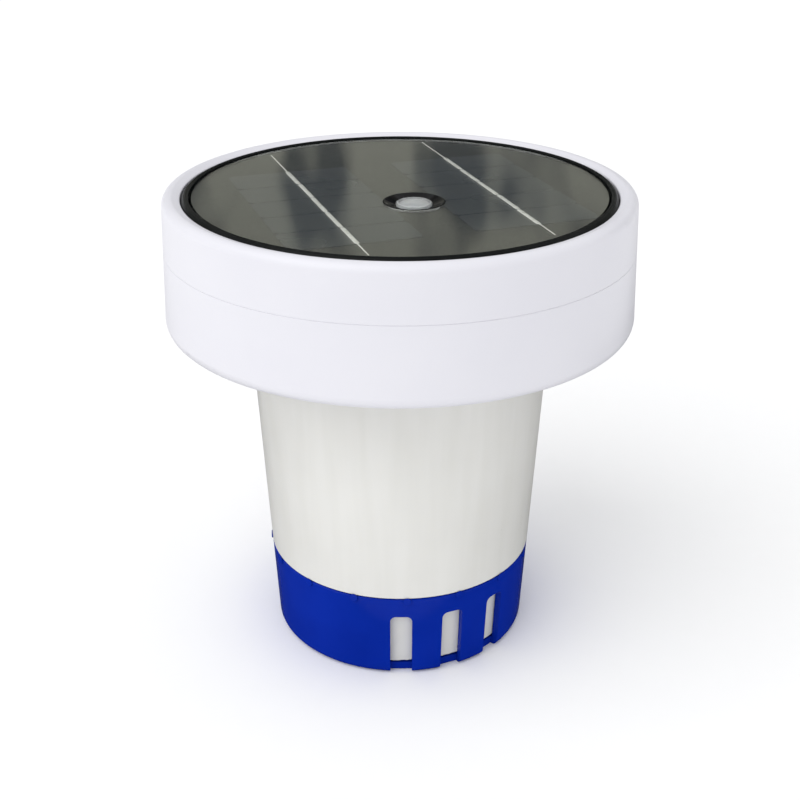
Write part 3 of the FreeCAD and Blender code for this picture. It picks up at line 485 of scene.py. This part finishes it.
white_rubber = rubber("white_rubber", (0.78, 0.78, 0.8), (0.7, 0.7, 0.72), 0.55)
plugs_low, plugs_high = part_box("screw_plugs")
plug_radius = plugs_high.y - shell_screw_circle
plug_profile = [
    (0, 0.0004), (plug_radius * 0.62, 0.0004), (plug_radius * 0.7, 0), (plug_radius - 0.0003, 0),
    (plug_radius, 0.0003), (plug_radius, 0.0012),
    (plug_radius - 0.0003, 0.0015), (plug_radius - 0.0003, 0.0019),
    (plug_radius, 0.0022), (plug_radius, 0.0030), (plug_radius - 0.0006, plugs_high.z - plugs_low.z),
    (0, plugs_high.z - plugs_low.z),
]
one_plug = made_object("one_plug", turned_shape(plug_profile, 40), white_rubber)
plug_places = on_circle(shell_screw_circle, 6, 30, plugs_low.z)
plugs = repeated("plug_set", one_plug, plug_places, white_rubber)
fitted(plugs, "head", "white_rubber", "screw_plugs")

# ---- panel tray -------------------------------------------------------------------------
# Round tray of glossy black plastic that drops into the float's well on a flat seal. Its rim
# shows round the panel, moulded with fine steps, and four screws hold it from below.
black_plastic, tree, shader = moulded(
    "black_plastic", (0.007, 0.008, 0.008), (0.005, 0.006, 0.006), 0.24, grain=0.000008, sink=0.00004
)
shader.inputs["Specular IOR Level"].default_value = 0.07
dress("panel_tray", black_plastic)
dress("tray_seal", grey_rubber)

tray_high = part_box("panel_tray")[1]
rim_outer = tray_high.x
tray_wall = 0.003
ring_height = 0.00018
rim_profile = []
for inner in (rim_outer - tray_wall + 0.0003, rim_outer - tray_wall + 0.00105):
    rim_profile.append([
        (inner, tray_high.z - 0.0002), (inner, tray_high.z + ring_height * 0.6),
        (inner + 0.00012, tray_high.z + ring_height), (inner + 0.00030, tray_high.z + ring_height),
        (inner + 0.00042, tray_high.z + ring_height * 0.6), (inner + 0.00042, tray_high.z - 0.0002),
    ])
for number, profile in enumerate(rim_profile):
    rim_step = made_object("rim_step_%d" % (number + 1), turned_shape(profile, 256), black_plastic, 60)
    fitted(rim_step, "head", "black_plastic")

panel_turn = 18.8
tray_screws_low, tray_screws_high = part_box("tray_screws")
tray_screw_seat = tray_screws_low.z + m4_head_height
one_screw = pan_screw(
    "one_tray_screw", m4_radius, tray_screws_high.z - tray_screw_seat,
    m4_head_radius, m4_head_height, m4_pitch, plated_steel,
)
tray_screw_reach = tray_screws_high.x - m4_head_radius
tray_screw_circle = tray_screw_reach / math.cos(math.radians(panel_turn))
tray_screw_places = on_circle(tray_screw_circle, 4, panel_turn - 90, tray_screw_seat)
tray_screws = repeated("tray_screw_set", one_screw, tray_screw_places, plated_steel, 0.2, 0.7)
fitted(tray_screws, "head", "steel", "tray_screws")

# ---- panel board, cells and ribbons -----------------------------------------------------
# Round dark backing board with two columns of cut silicon cells; under each column the board is
# painted near black, which shows in the gaps between the cells as painted shade. Tinned copper
# ribbons are soldered down the middle of each column and end as thin wires.
def on_panel(across, along, height=0.0):
    """Place on the panel: across the cell columns, and along them towards the button."""
    way = math.radians(panel_turn - 90)
    side = math.radians(panel_turn)
    return Vector((
        along * math.cos(way) + across * math.cos(side),
        along * math.sin(way) + across * math.sin(side),
        height,
    ))


def panel_coordinates(tree):
    """Coordinates turned with the panel: X runs across the cell columns and Y along them."""
    place = tree.nodes.new("ShaderNodeTexCoord")
    mapping = tree.nodes.new("ShaderNodeMapping")
    mapping.inputs["Rotation"].default_value = (0, 0, math.radians(-panel_turn))
    tree.links.new(place.outputs["Object"], mapping.inputs["Vector"])
    return mapping.outputs["Vector"]


def panel_lines(tree, pitch, width):
    """Value that is 1 on fine straight lines of one pitch, square to the panel's columns."""
    wave = tree.nodes.new("ShaderNodeTexWave")
    wave.wave_type = "BANDS"
    wave.bands_direction = "Y"
    wave.inputs["Scale"].default_value = 2 * math.pi / pitch / 20
    tree.links.new(panel_coordinates(tree), wave.inputs["Vector"])
    return between(tree, wave.outputs["Fac"], 0, 1, 1 - width, 1)


def panel_distance(tree, axis, middle):
    """Value that gives the distance from one line of the panel, square to the named axis."""
    split = tree.nodes.new("ShaderNodeSeparateXYZ")
    away = tree.nodes.new("ShaderNodeMath")
    away.operation = "SUBTRACT"
    away.inputs[1].default_value = middle
    size = tree.nodes.new("ShaderNodeMath")
    size.operation = "ABSOLUTE"
    tree.links.new(panel_coordinates(tree), split.inputs["Vector"])
    tree.links.new(split.outputs[axis], away.inputs[0])
    tree.links.new(away.outputs[0], size.inputs[0])
    return size.outputs[0]


column_offset, cell_length, cell_width, cell_pitch = 0.0364, 0.052, 0.0203, 0.0208
cell_rows, cell_shift = 5, 0.007
board_black, tree, shader = own_shader("board_black")
weave = noise(tree, 0.0009, 2)
shade = blend_colours(tree, weave, (0.026, 0.026, 0.021), (0.036, 0.036, 0.029))
column_length = (cell_rows - 1) * cell_pitch + cell_width
# Painted shade: a near-black rectangle under each cell column, seen only in the gaps between the cells.
gap_shade_across, gap_shade_along, gap_shade_edge = cell_length / 2, column_length / 2, 0.0002
distance = panel_distance(tree, "Y", -cell_shift)
gap_shade_ends = between(tree, distance, 1, 0, gap_shade_along, gap_shade_along + gap_shade_edge)
for column in (-1, 1):
    distance = panel_distance(tree, "X", column * column_offset)
    gap_shade_sides = between(tree, distance, 1, 0, gap_shade_across, gap_shade_across + gap_shade_edge)
    film = tree.nodes.new("ShaderNodeMath")
    film.operation = "MULTIPLY"
    tree.links.new(gap_shade_sides, film.inputs[0])
    tree.links.new(gap_shade_ends, film.inputs[1])
    # Near-black colour inside the column's rectangle: painted shade of the gaps between the cells.
    shade = blend_colours(tree, film.outputs[0], shade, (0.002, 0.002, 0.003))
tree.links.new(shade, shader.inputs["Base Color"])
tree.links.new(between(tree, weave, 0.35, 0.5), shader.inputs["Roughness"])
tree.links.new(raised(tree, weave, 0.00001), shader.inputs["Normal"])
dress("panel_board", board_black)

silicon, tree, shader = own_shader("silicon")
crystal = noise(tree, 0.05, 1)
coating = blend_colours(tree, between(tree, crystal, 0, 1), (0.034, 0.039, 0.044), (0.046, 0.051, 0.054))
fingers = panel_lines(tree, 0.0017, 0.06)
tree.links.new(blend_colours(tree, fingers, coating, (0.056, 0.060, 0.060)), shader.inputs["Base Color"])
tree.links.new(between(tree, crystal, 0.25, 0.38), shader.inputs["Roughness"])
dress("solar_cells", silicon)

cells_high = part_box("solar_cells")[1]
ribbon_width, ribbon_height, ribbon_length, ribbon_shift = 0.0020, 0.00013, 0.147, -0.001
tinned, tree, shader = own_shader("tinned_copper")
solder = noise(tree, 0.0016, 3)
tin = blend_colours(tree, between(tree, solder, 0, 1), (0.80, 0.78, 0.72), (0.97, 0.96, 0.93))
tree.links.new(tin, shader.inputs["Base Color"])
tree.links.new(between(tree, solder, 0.25, 0.5), shader.inputs["Roughness"])
tree.links.new(raised(tree, solder, 0.00004), shader.inputs["Normal"])
shader.inputs["Metallic"].default_value = 0.1


def flat_strip(shape, stations, thickness):
    """Adds a flat strip through (across, along, half width, height) stations on the panel."""
    rows = []
    for across, along, half, height in stations:
        row = []
        for side, lift in ((-1, 0), (-0.8, 1), (0.8, 1), (1, 0)):
            spot = on_panel(across + side * half, along, height + lift * thickness)
            row.append(shape.verts.new(spot))
        rows.append(row)
    for before, after in zip(rows, rows[1:]):
        for index in range(4):
            following = (index + 1) % 4
            shape.faces.new((before[index], before[following], after[following], after[index]))
    shape.faces.new(rows[0])
    shape.faces.new(rows[-1])


ribbons = bmesh.new()
for column in (-1, 1):
    across = column * column_offset
    start, end = ribbon_shift - ribbon_length / 2, ribbon_shift + ribbon_length / 2
    stations = [(across, start, 0.0003, cells_high.z)]
    first_edge = cell_shift - column_length / 2
    stations.append((across, first_edge - 0.0015, 0.00032, cells_high.z))
    for row in range(cell_rows):
        middle = cell_shift + (row - (cell_rows - 1) / 2) * cell_pitch
        sway = 0.00012 * math.sin(2.3 * row + column)
        for share, half in ((-0.49, 0.3), (-0.47, 1), (0.0, 0.94), (0.47, 1), (0.49, 0.3)):
            along = middle + share * cell_width
            stations.append((across + sway, along, half * ribbon_width / 2, cells_high.z))
    last_edge = cell_shift + column_length / 2
    if end > last_edge + 0.001:
        stations.append((across, last_edge + 0.001, 0.00032, cells_high.z))
        stations.append((across, end, 0.0003, cells_high.z))
    flat_strip(ribbons, stations, ribbon_height)
bmesh.ops.recalc_face_normals(ribbons, faces=ribbons.faces)
fitted(made_object("ribbon_pair", ribbons, tinned), "head", "tinned_copper", "cell_ribbons")

# ---- clear cover ------------------------------------------------------------------------
# Disc of clear acrylic with a polished bevel, bonded into the tray over the cells and bored
# for the button's bezel.
clear_cover, tree, shader = own_shader("clear_cover")
film = noise(tree, 0.03, 3)
tree.links.new(blend_colours(tree, film, (0.86, 0.9, 0.86), (0.93, 0.95, 0.92)), shader.inputs["Base Color"])
tree.links.new(between(tree, film, 0.015, 0.05), shader.inputs["Roughness"])
tree.links.new(raised(tree, noise(tree, 0.03, 1), 0.00001), shader.inputs["Normal"])
shader.inputs["Transmission Weight"].default_value = 1
shader.inputs["IOR"].default_value = 1.49
cover_low, cover_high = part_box("panel_window")
button_along = 0.0175
button_middle = on_panel(0, button_along)
bezel_low, bezel_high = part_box("button_bezel")
hole_radius = (bezel_high.x - bezel_low.x) / 2 + 0.00015
cover_radius, cover_bevel = cover_high.x, 0.0007
cover_steps = 256
cover = bmesh.new()
rings = []
for middle, radius, height in (
    (Vector((0, 0)), cover_radius, cover_low.z),
    (Vector((0, 0)), cover_radius, cover_high.z - cover_bevel),
    (Vector((0, 0)), cover_radius - cover_bevel, cover_high.z),
    (button_middle.xy, hole_radius + 0.0002, cover_high.z),
    (button_middle.xy, hole_radius, cover_high.z - 0.0002),
    (button_middle.xy, hole_radius, cover_low.z),
):
    ring = []
    for step in range(cover_steps):
        turn = 2 * math.pi * step / cover_steps
        spot = (middle.x + radius * math.cos(turn), middle.y + radius * math.sin(turn), height)
        ring.append(cover.verts.new(spot))
    rings.append(ring)
for ring, following_ring in zip(rings, rings[1:] + rings[:1]):
    for step in range(cover_steps):
        following = (step + 1) % cover_steps
        cover.faces.new((ring[step], ring[following], following_ring[following], following_ring[step]))
bmesh.ops.recalc_face_normals(cover, faces=cover.faces)
cover_disc = fitted(made_object("clear_disc", cover, clear_cover, 30), "head", "clear_cover", "panel_window")
cover_disc.visible_shadow = False
cover_disc.visible_diffuse = False

# ---- push button ------------------------------------------------------------------------
# Clear crowned button over a bright reflector, in a dished black bushing that a six-sided
# nut clamps to the tray. A rubber boot under the button seals it and pushes it back up.
deep_black, tree, shader = moulded(
    "deep_black", (0.0035, 0.0035, 0.004), (0.0025, 0.0025, 0.003), 0.12, grain=0.000006
)
shader.inputs["Specular IOR Level"].default_value = 0.12
dress("button_bezel", deep_black)
dress("bezel_nut", black_plastic)
dress("button_retainer", black_plastic)
cap_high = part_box("button_cap")[1]

clear_button, tree, shader = own_shader("clear_button")
haze = noise(tree, 0.004, 2)
tree.links.new(blend_colours(tree, haze, (0.84, 0.87, 0.87), (0.95, 0.96, 0.95)), shader.inputs["Base Color"])
tree.links.new(between(tree, haze, 0.05, 0.14), shader.inputs["Roughness"])
tree.links.new(raised(tree, haze, 0.00003), shader.inputs["Normal"])
shader.inputs["Transmission Weight"].default_value = 0.75
shader.inputs["IOR"].default_value = 1.49
dress("button_cap", clear_button)

bright_foil, tree, shader = own_shader("bright_foil")
ripple = noise(tree, 0.0015, 2)
tree.links.new(blend_colours(tree, ripple, (0.7, 0.73, 0.74), (0.9, 0.92, 0.92)), shader.inputs["Base Color"])
tree.links.new(between(tree, ripple, 0.3, 0.45), shader.inputs["Roughness"])
shader.inputs["Metallic"].default_value = 0.5
foil_height = cap_high.z - 0.0016
foil_profile = [
    (0, foil_height), (0.0022, foil_height), (0.0026, foil_height + 0.00025), (0.0052, foil_height + 0.00035),
    (0.0056, foil_height), (0.0064, foil_height), (0.0064, foil_height - 0.0002), (0, foil_height - 0.0002),
]
reflector = made_object("button_reflector", turned_shape(foil_profile, 64, button_middle.xy), bright_foil)
fitted(reflector, "button", "clear_button")

boot_low, boot_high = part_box("return_boot")
boot_outer = (boot_high.x - boot_low.x) / 2
boot_inner, boot_wall = 0.0023, 0.0008
waist = (boot_inner + boot_outer) / 2
boot_profile = [
    (boot_outer - 2 * boot_wall, boot_low.z), (boot_outer, boot_low.z), (boot_outer, boot_low.z + boot_wall),
    (boot_outer - boot_wall * 0.7, boot_low.z + boot_wall * 1.1),
    (waist + boot_wall * 1.5, boot_low.z + 0.6 * (boot_high.z - boot_low.z)),
    (waist + boot_wall, boot_high.z), (boot_inner, boot_high.z), (boot_inner, boot_high.z - boot_wall),
    (waist, boot_high.z - boot_wall),
    (waist + boot_wall * 0.5, boot_low.z + 0.55 * (boot_high.z - boot_low.z)),
]
boot = made_object("rubber_boot", turned_shape(boot_profile, 64, button_middle.xy), grey_rubber)
fitted(boot, "head", "grey_rubber", "return_boot")
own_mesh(boot)

# ---- control board ----------------------------------------------------------------------
# Green printed board screwed under the tray: the button's switch, a charging chip with its
# coil and two capacitors, and soldered leads to the panel, the battery and the lamp.
board_green, tree, shader = own_shader("board_green")
tracks = tree.nodes.new("ShaderNodeTexBrick")
tracks.inputs["Scale"].default_value = 120
tracks.inputs["Mortar Size"].default_value = 0.035
tracks.inputs["Color1"].default_value = (0.010, 0.10, 0.035, 1)
tracks.inputs["Color2"].default_value = (0.014, 0.12, 0.042, 1)
tracks.inputs["Mortar"].default_value = (0.05, 0.26, 0.10, 1)
tree.links.new(panel_coordinates(tree), tracks.inputs["Vector"])
tree.links.new(tracks.outputs["Color"], shader.inputs["Base Color"])
tree.links.new(between(tree, tracks.outputs["Fac"], 0.3, 0.42, 0, 1), shader.inputs["Roughness"])
tree.links.new(raised(tree, tracks.outputs["Fac"], 0.00003), shader.inputs["Normal"])
dress("control_board", board_green)

board_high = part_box("control_board")[1]
board_length, board_width = 0.060, 0.034
chip_body, tree, shader = moulded("chip_body", (0.02, 0.02, 0.022), (0.014, 0.014, 0.015), 0.5, grain=0.00002)
chip_low, chip_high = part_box("control_chip")
chip_middle = on_panel(-board_length / 5, button_along - board_width / 4)
chip = bmesh.new()
chip_size = Matrix.Diagonal((0.0099, 0.0049, chip_high.z - chip_low.z - 0.0002, 1))
chip_centre = Vector((chip_middle.x, chip_middle.y, (chip_low.z + chip_high.z) / 2 + 0.0001))
turned_place = Matrix.Translation(chip_centre) @ Matrix.Rotation(math.radians(panel_turn), 4, "Z")
bmesh.ops.create_cube(chip, size=1, matrix=turned_place @ chip_size)
bmesh.ops.bevel(chip, geom=chip.edges[:], offset=0.00025, segments=2, affect="EDGES", clamp_overlap=True)
chip_shape = made_object("chip", chip, chip_body)
fitted(chip_shape, "head", "black_plastic", "control_chip")

pins_per_side, pin_pitch, pin_reach = 7, 0.00127, 0.0024
pin = bmesh.new()
pin_path = [(0.0, 0.0008), (0.0006, 0.0008), (0.0008, 0.0001), (0.0015, 0.0001)]
rows = []
for reach, height in pin_path:
    rows.append([
        pin.verts.new((-0.0002, reach, height)), pin.verts.new((0.0002, reach, height)),
        pin.verts.new((0.0002, reach, height + 0.00018)), pin.verts.new((-0.0002, reach, height + 0.00018)),
    ])
for before, after in zip(rows, rows[1:]):
    for index in range(4):
        following = (index + 1) % 4
        pin.faces.new((before[index], before[following], after[following], after[index]))
pin.faces.new(rows[0])
pin.faces.new(rows[-1])
bmesh.ops.recalc_face_normals(pin, faces=pin.faces)
for side in (-1, 1):
    one_pin = made_object("one_pin_%d" % (side + 1), pin.copy(), tinned)
    pin_along = button_along - board_width / 4 - side * pin_reach
    pin_places = []
    for number in range(pins_per_side):
        pin_across = -board_length / 5 + (number - 3) * pin_pitch
        pin_places.append(on_panel(pin_across, pin_along, chip_low.z))
    turn = math.radians(panel_turn) + (0 if side > 0 else math.pi)
    pins = repeated("chip_pins_%s" % ("left" if side < 0 else "right"), one_pin, pin_places, tinned, turn)
    fitted(pins, "head", "tinned_copper")
pin.free()

ferrite, tree, shader = moulded("ferrite", (0.075, 0.075, 0.08), (0.05, 0.05, 0.055), 0.6, grain=0.00003)
coil_low, coil_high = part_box("charge_coil")
coil_middle = (coil_low + coil_high) / 2
coil_radius = (coil_high.x - coil_low.x) / 2
coil_wall = 0.0008
drum = turned_shape([
    (0, coil_low.z), (coil_radius - 0.0002, coil_low.z), (coil_radius, coil_low.z + 0.0002),
    (coil_radius, coil_low.z + coil_wall), (coil_radius * 0.55, coil_low.z + coil_wall),
    (coil_radius * 0.55, coil_high.z - coil_wall), (coil_radius, coil_high.z - coil_wall),
    (coil_radius, coil_high.z - 0.0002), (coil_radius - 0.0002, coil_high.z),
    (0.0011, coil_high.z), (0.0010, coil_high.z - 0.0006), (0, coil_high.z - 0.0006),
], 48, coil_middle.xy)
fitted(made_object("coil_drum", drum, ferrite), "head", "ferrite", "charge_coil")
copper, tree, shader = own_shader("coil_copper")
lacquer = noise(tree, 0.001, 2)
lacquer_tone = blend_colours(tree, lacquer, (0.62, 0.24, 0.10), (0.75, 0.34, 0.16))
tree.links.new(lacquer_tone, shader.inputs["Base Color"])
tree.links.new(between(tree, lacquer, 0.2, 0.35), shader.inputs["Roughness"])
shader.inputs["Metallic"].default_value = 1
winding = [(coil_radius * 0.5, coil_low.z + coil_wall)]
wire = 0.00024
for turn in range(int((coil_high.z - coil_low.z - 2 * coil_wall) / wire)):
    start = coil_low.z + coil_wall + turn * wire
    winding += [(coil_radius * 0.86, start), (coil_radius * 0.9, start + wire / 2)]
winding += [(coil_radius * 0.86, coil_high.z - coil_wall), (coil_radius * 0.5, coil_high.z - coil_wall)]
coil_winding = made_object("coil_winding", turned_shape(winding, 48, coil_middle.xy), copper, 80)
fitted(coil_winding, "head", "tinned_copper")

can_sleeve, tree, shader = moulded("can_sleeve", (0.02, 0.03, 0.10), (0.015, 0.02, 0.08), 0.3)
can_metal, tree, shader = own_shader("can_metal")
brushed = noise(tree, 0.0008, 2)
metal_tone = blend_colours(tree, brushed, (0.72, 0.72, 0.74), (0.85, 0.85, 0.87))
tree.links.new(metal_tone, shader.inputs["Base Color"])
tree.links.new(between(tree, brushed, 0.25, 0.4), shader.inputs["Roughness"])
shader.inputs["Metallic"].default_value = 1
cans_low, cans_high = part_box("board_capacitors")
can_radius, can_height = 0.0032, cans_high.z - cans_low.z
sleeve = turned_shape([
    (can_radius * 0.7, 0), (can_radius - 0.0002, 0), (can_radius, 0.0003), (can_radius, can_height * 0.16),
    (can_radius - 0.0003, can_height * 0.2), (can_radius, can_height * 0.24),
    (can_radius, can_height - 0.0004), (can_radius - 0.0003, can_height),
    (can_radius * 0.82, can_height), (can_radius * 0.7, can_height - 0.0003),
], 40)
lid = turned_shape([
    (0, 0.0002), (can_radius * 0.75, 0.0002), (can_radius * 0.75, can_height - 0.00015),
    (0.0004, can_height - 0.00015), (0.0002, can_height - 0.0003), (0, can_height - 0.0003),
], 40)
can_along = button_along - board_width / 8
can_places = [on_panel(side * board_length / 3, can_along, cans_low.z) for side in (-1, 1)]
sleeves = repeated("can_sleeves", made_object("one_sleeve", sleeve, can_sleeve), can_places, can_sleeve)
fitted(sleeves, "head", "capacitor_can", "board_capacitors")
lids = repeated("can_lids", made_object("one_lid", lid, can_metal), can_places, can_metal)
fitted(lids, "head", "capacitor_can")

dress("push_switch", black_plastic)
white_plastic, tree, shader = moulded("white_plastic", (0.75, 0.75, 0.73), (0.68, 0.68, 0.66), 0.45)
dress("switch_plunger", white_plastic)

m25_radius, m25_head_radius, m25_head_height, m25_pitch = 0.00125, 0.0023, 0.0015, 0.0009
board_screws_low, board_screws_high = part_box("board_screws")
board_screw_seat = board_screws_low.z + m25_head_height
one_screw = pan_screw(
    "one_board_screw", m25_radius, board_screws_high.z - board_screw_seat,
    m25_head_radius, m25_head_height, m25_pitch, plated_steel,
)
corner_across, corner_along = board_length / 2 - 0.004, board_width / 2 - 0.004
board_screw_places = []
for side, end in ((-1, -1), (1, -1), (1, 1), (-1, 1)):
    along = button_along + end * corner_along
    board_screw_places.append(on_panel(side * corner_across, along, board_screw_seat))
board_screws = repeated("board_screw_set", one_screw, board_screw_places, plated_steel, 0.3, 0.8)
fitted(board_screws, "head", "steel", "board_screws")

# ---- battery ----------------------------------------------------------------------------
# One round lithium cell in shrink wrap, held in a black cradle between sprung contact
# plates. A foam pad sticks the cradle to the top of the float's socket.
dress("battery_holder", black_plastic)
dress("battery_contacts", plated_steel)
dress("battery_pad", rubber("foam", (0.75, 0.75, 0.72), (0.6, 0.6, 0.57), 0.8, 0.0001))
cell_wrap, tree, shader = moulded("cell_wrap", (0.03, 0.22, 0.12), (0.025, 0.19, 0.10), 0.28, sink=0.00003)
cell_low, cell_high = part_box("battery_cell")
battery_radius, battery_length = 0.0092, 0.065
axis_height = (cell_low.z + cell_high.z) / 2
lamp_post_circle = 0.010 + 0.0024 + 0.0019 + 0.00025
battery_offset = lamp_post_circle + 0.00245 + 0.0029 + 0.0111
battery_middle = on_panel(0, -battery_offset, axis_height)
lay_down = (
    Matrix.Translation(battery_middle)
    @ Matrix.Rotation(math.radians(panel_turn), 4, "Z")
    @ Matrix.Rotation(math.pi / 2, 4, "Y")
)
half = battery_length / 2
wrap = turned_shape([
    (battery_radius * 0.8, -half), (battery_radius - 0.0005, -half), (battery_radius, -half + 0.0005),
    (battery_radius, half - 0.0042), (battery_radius - 0.0005, half - 0.0035),
    (battery_radius, half - 0.0028), (battery_radius, half - 0.0005),
    (battery_radius - 0.0005, half), (battery_radius * 0.72, half),
    (battery_radius * 0.72, half - 0.0006), (battery_radius * 0.8, -half + 0.0006),
], 72)
bmesh.ops.transform(wrap, matrix=lay_down, verts=wrap.verts)
fitted(made_object("cell_wrap", wrap, cell_wrap), "head", "battery_wrap", "battery_cell")
ends = turned_shape([
    (0, -half + 0.0001), (battery_radius * 0.85, -half + 0.0003), (battery_radius * 0.85, half - 0.0007),
    (battery_radius * 0.5, half - 0.0007), (battery_radius * 0.42, half - 0.0002),
    (battery_radius / 3, half + 0.0001), (battery_radius / 3 - 0.0003, half + 0.0008), (0, half + 0.0008),
], 56)
bmesh.ops.transform(ends, matrix=lay_down, verts=ends.verts)
fitted(made_object("cell_ends", ends, plated_steel), "head", "steel")

# ---- lamp -------------------------------------------------------------------------------
# Three yellow-phosphor diodes on a small white board shine down into the cup through a
# clear plug, which sits on a rubber ring in the socket's ceiling.
lamp_clear, tree, shader = own_shader("lamp_clear")
haze = noise(tree, 0.006, 2)
tree.links.new(blend_colours(tree, haze, (0.88, 0.9, 0.9), (0.95, 0.96, 0.96)), shader.inputs["Base Color"])
tree.links.new(between(tree, haze, 0.08, 0.16), shader.inputs["Roughness"])
tree.links.new(raised(tree, noise(tree, 0.0014, 1), 0.00006), shader.inputs["Normal"])
shader.inputs["Transmission Weight"].default_value = 1
shader.inputs["IOR"].default_value = 1.49
dress("lamp_window", lamp_clear)
dress("lamp_window_seal", grey_rubber)
board_white, tree, shader = own_shader("board_white")
mask = noise(tree, 0.002, 3)
tree.links.new(blend_colours(tree, mask, (0.78, 0.78, 0.75), (0.86, 0.86, 0.83)), shader.inputs["Base Color"])
tree.links.new(between(tree, mask, 0.35, 0.5), shader.inputs["Roughness"])
tree.links.new(raised(tree, mask, 0.00001), shader.inputs["Normal"])
dress("lamp_board", board_white)

phosphor, tree, shader = own_shader("phosphor")
gel = noise(tree, 0.0008, 2)
tree.links.new(blend_colours(tree, gel, (0.80, 0.58, 0.10), (0.88, 0.70, 0.16)), shader.inputs["Base Color"])
tree.links.new(between(tree, gel, 0.3, 0.45), shader.inputs["Roughness"])
shader.inputs["Subsurface Weight"].default_value = 0.2
diodes_low, diodes_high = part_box("lamp_diodes")
diode_height = diodes_high.z - diodes_low.z
diode_circle = 0.006
diode_places = on_circle(diode_circle, 3, 90 + panel_turn, diodes_high.z)
gel_shape = turned_shape([
    (0, -diode_height + 0.0002), (0.0012, -diode_height + 0.00035), (0.0017, -diode_height + 0.0007),
    (0.0018, -0.0003), (0, -0.0003),
], 32)
gels = repeated("diode_gels", made_object("one_gel", gel_shape, phosphor), diode_places, phosphor)
fitted(gels, "head", "diode_yellow", "lamp_diodes")
case_shape = turned_shape([
    (0.00185, 0), (0.0024, 0), (0.0024, -diode_height + 0.0004), (0.0023, -diode_height + 0.0003),
    (0.0020, -diode_height + 0.0003), (0.00185, -0.0006),
], 32)
one_case = made_object("one_case", case_shape, white_plastic)
cases = repeated("diode_cases", one_case, diode_places, white_plastic)
fitted(cases, "head", "white_plastic")

lamp_screws_low, lamp_screws_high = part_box("lamp_board_screws")
lamp_screw_seat = lamp_screws_high.z - m25_head_height
one_screw = pan_screw(
    "one_lamp_screw", m25_radius, lamp_screw_seat - lamp_screws_low.z,
    m25_head_radius, m25_head_height, m25_pitch, plated_steel, downwards=True,
)
lamp_screw_places = on_circle(lamp_post_circle, 3, panel_turn - 90, lamp_screw_seat)
lamp_screws = repeated("lamp_screw_set", one_screw, lamp_screw_places, plated_steel, 0.5, 1.1)
fitted(lamp_screws, "head", "steel", "lamp_board_screws")

# ---- leads ------------------------------------------------------------------------------
# Thin stranded wires in smooth red and black insulation, soldered at both ends.
for colour_name, colour, deeper in (
    ("red", (0.55, 0.02, 0.02), (0.45, 0.015, 0.015)),
    ("black", (0.02, 0.02, 0.02), (0.012, 0.012, 0.012)),
):
    insulation, tree, shader = moulded("insulation_" + colour_name, colour, deeper, 0.4, cloud_size=0.006)
    for run in ("panel", "battery", "lamp"):
        dress("%s_lead_%s" % (run, colour_name), insulation)

blob_shape = turned_shape([
    (0, 0.0011), (0.0004, 0.0010), (0.0008, 0.0006), (0.00125, 0.00015), (0.0014, 0), (0, 0),
], 20)
blob_along = button_along + board_width / 3
blob_places = [on_panel(side * board_length / 3, blob_along, board_high.z) for side in (-1, 1)]
one_blob = made_object("one_blob", blob_shape, tinned)
solder_joints = repeated("solder_joints", one_blob, blob_places, tinned)
fitted(solder_joints, "head", "tinned_copper")
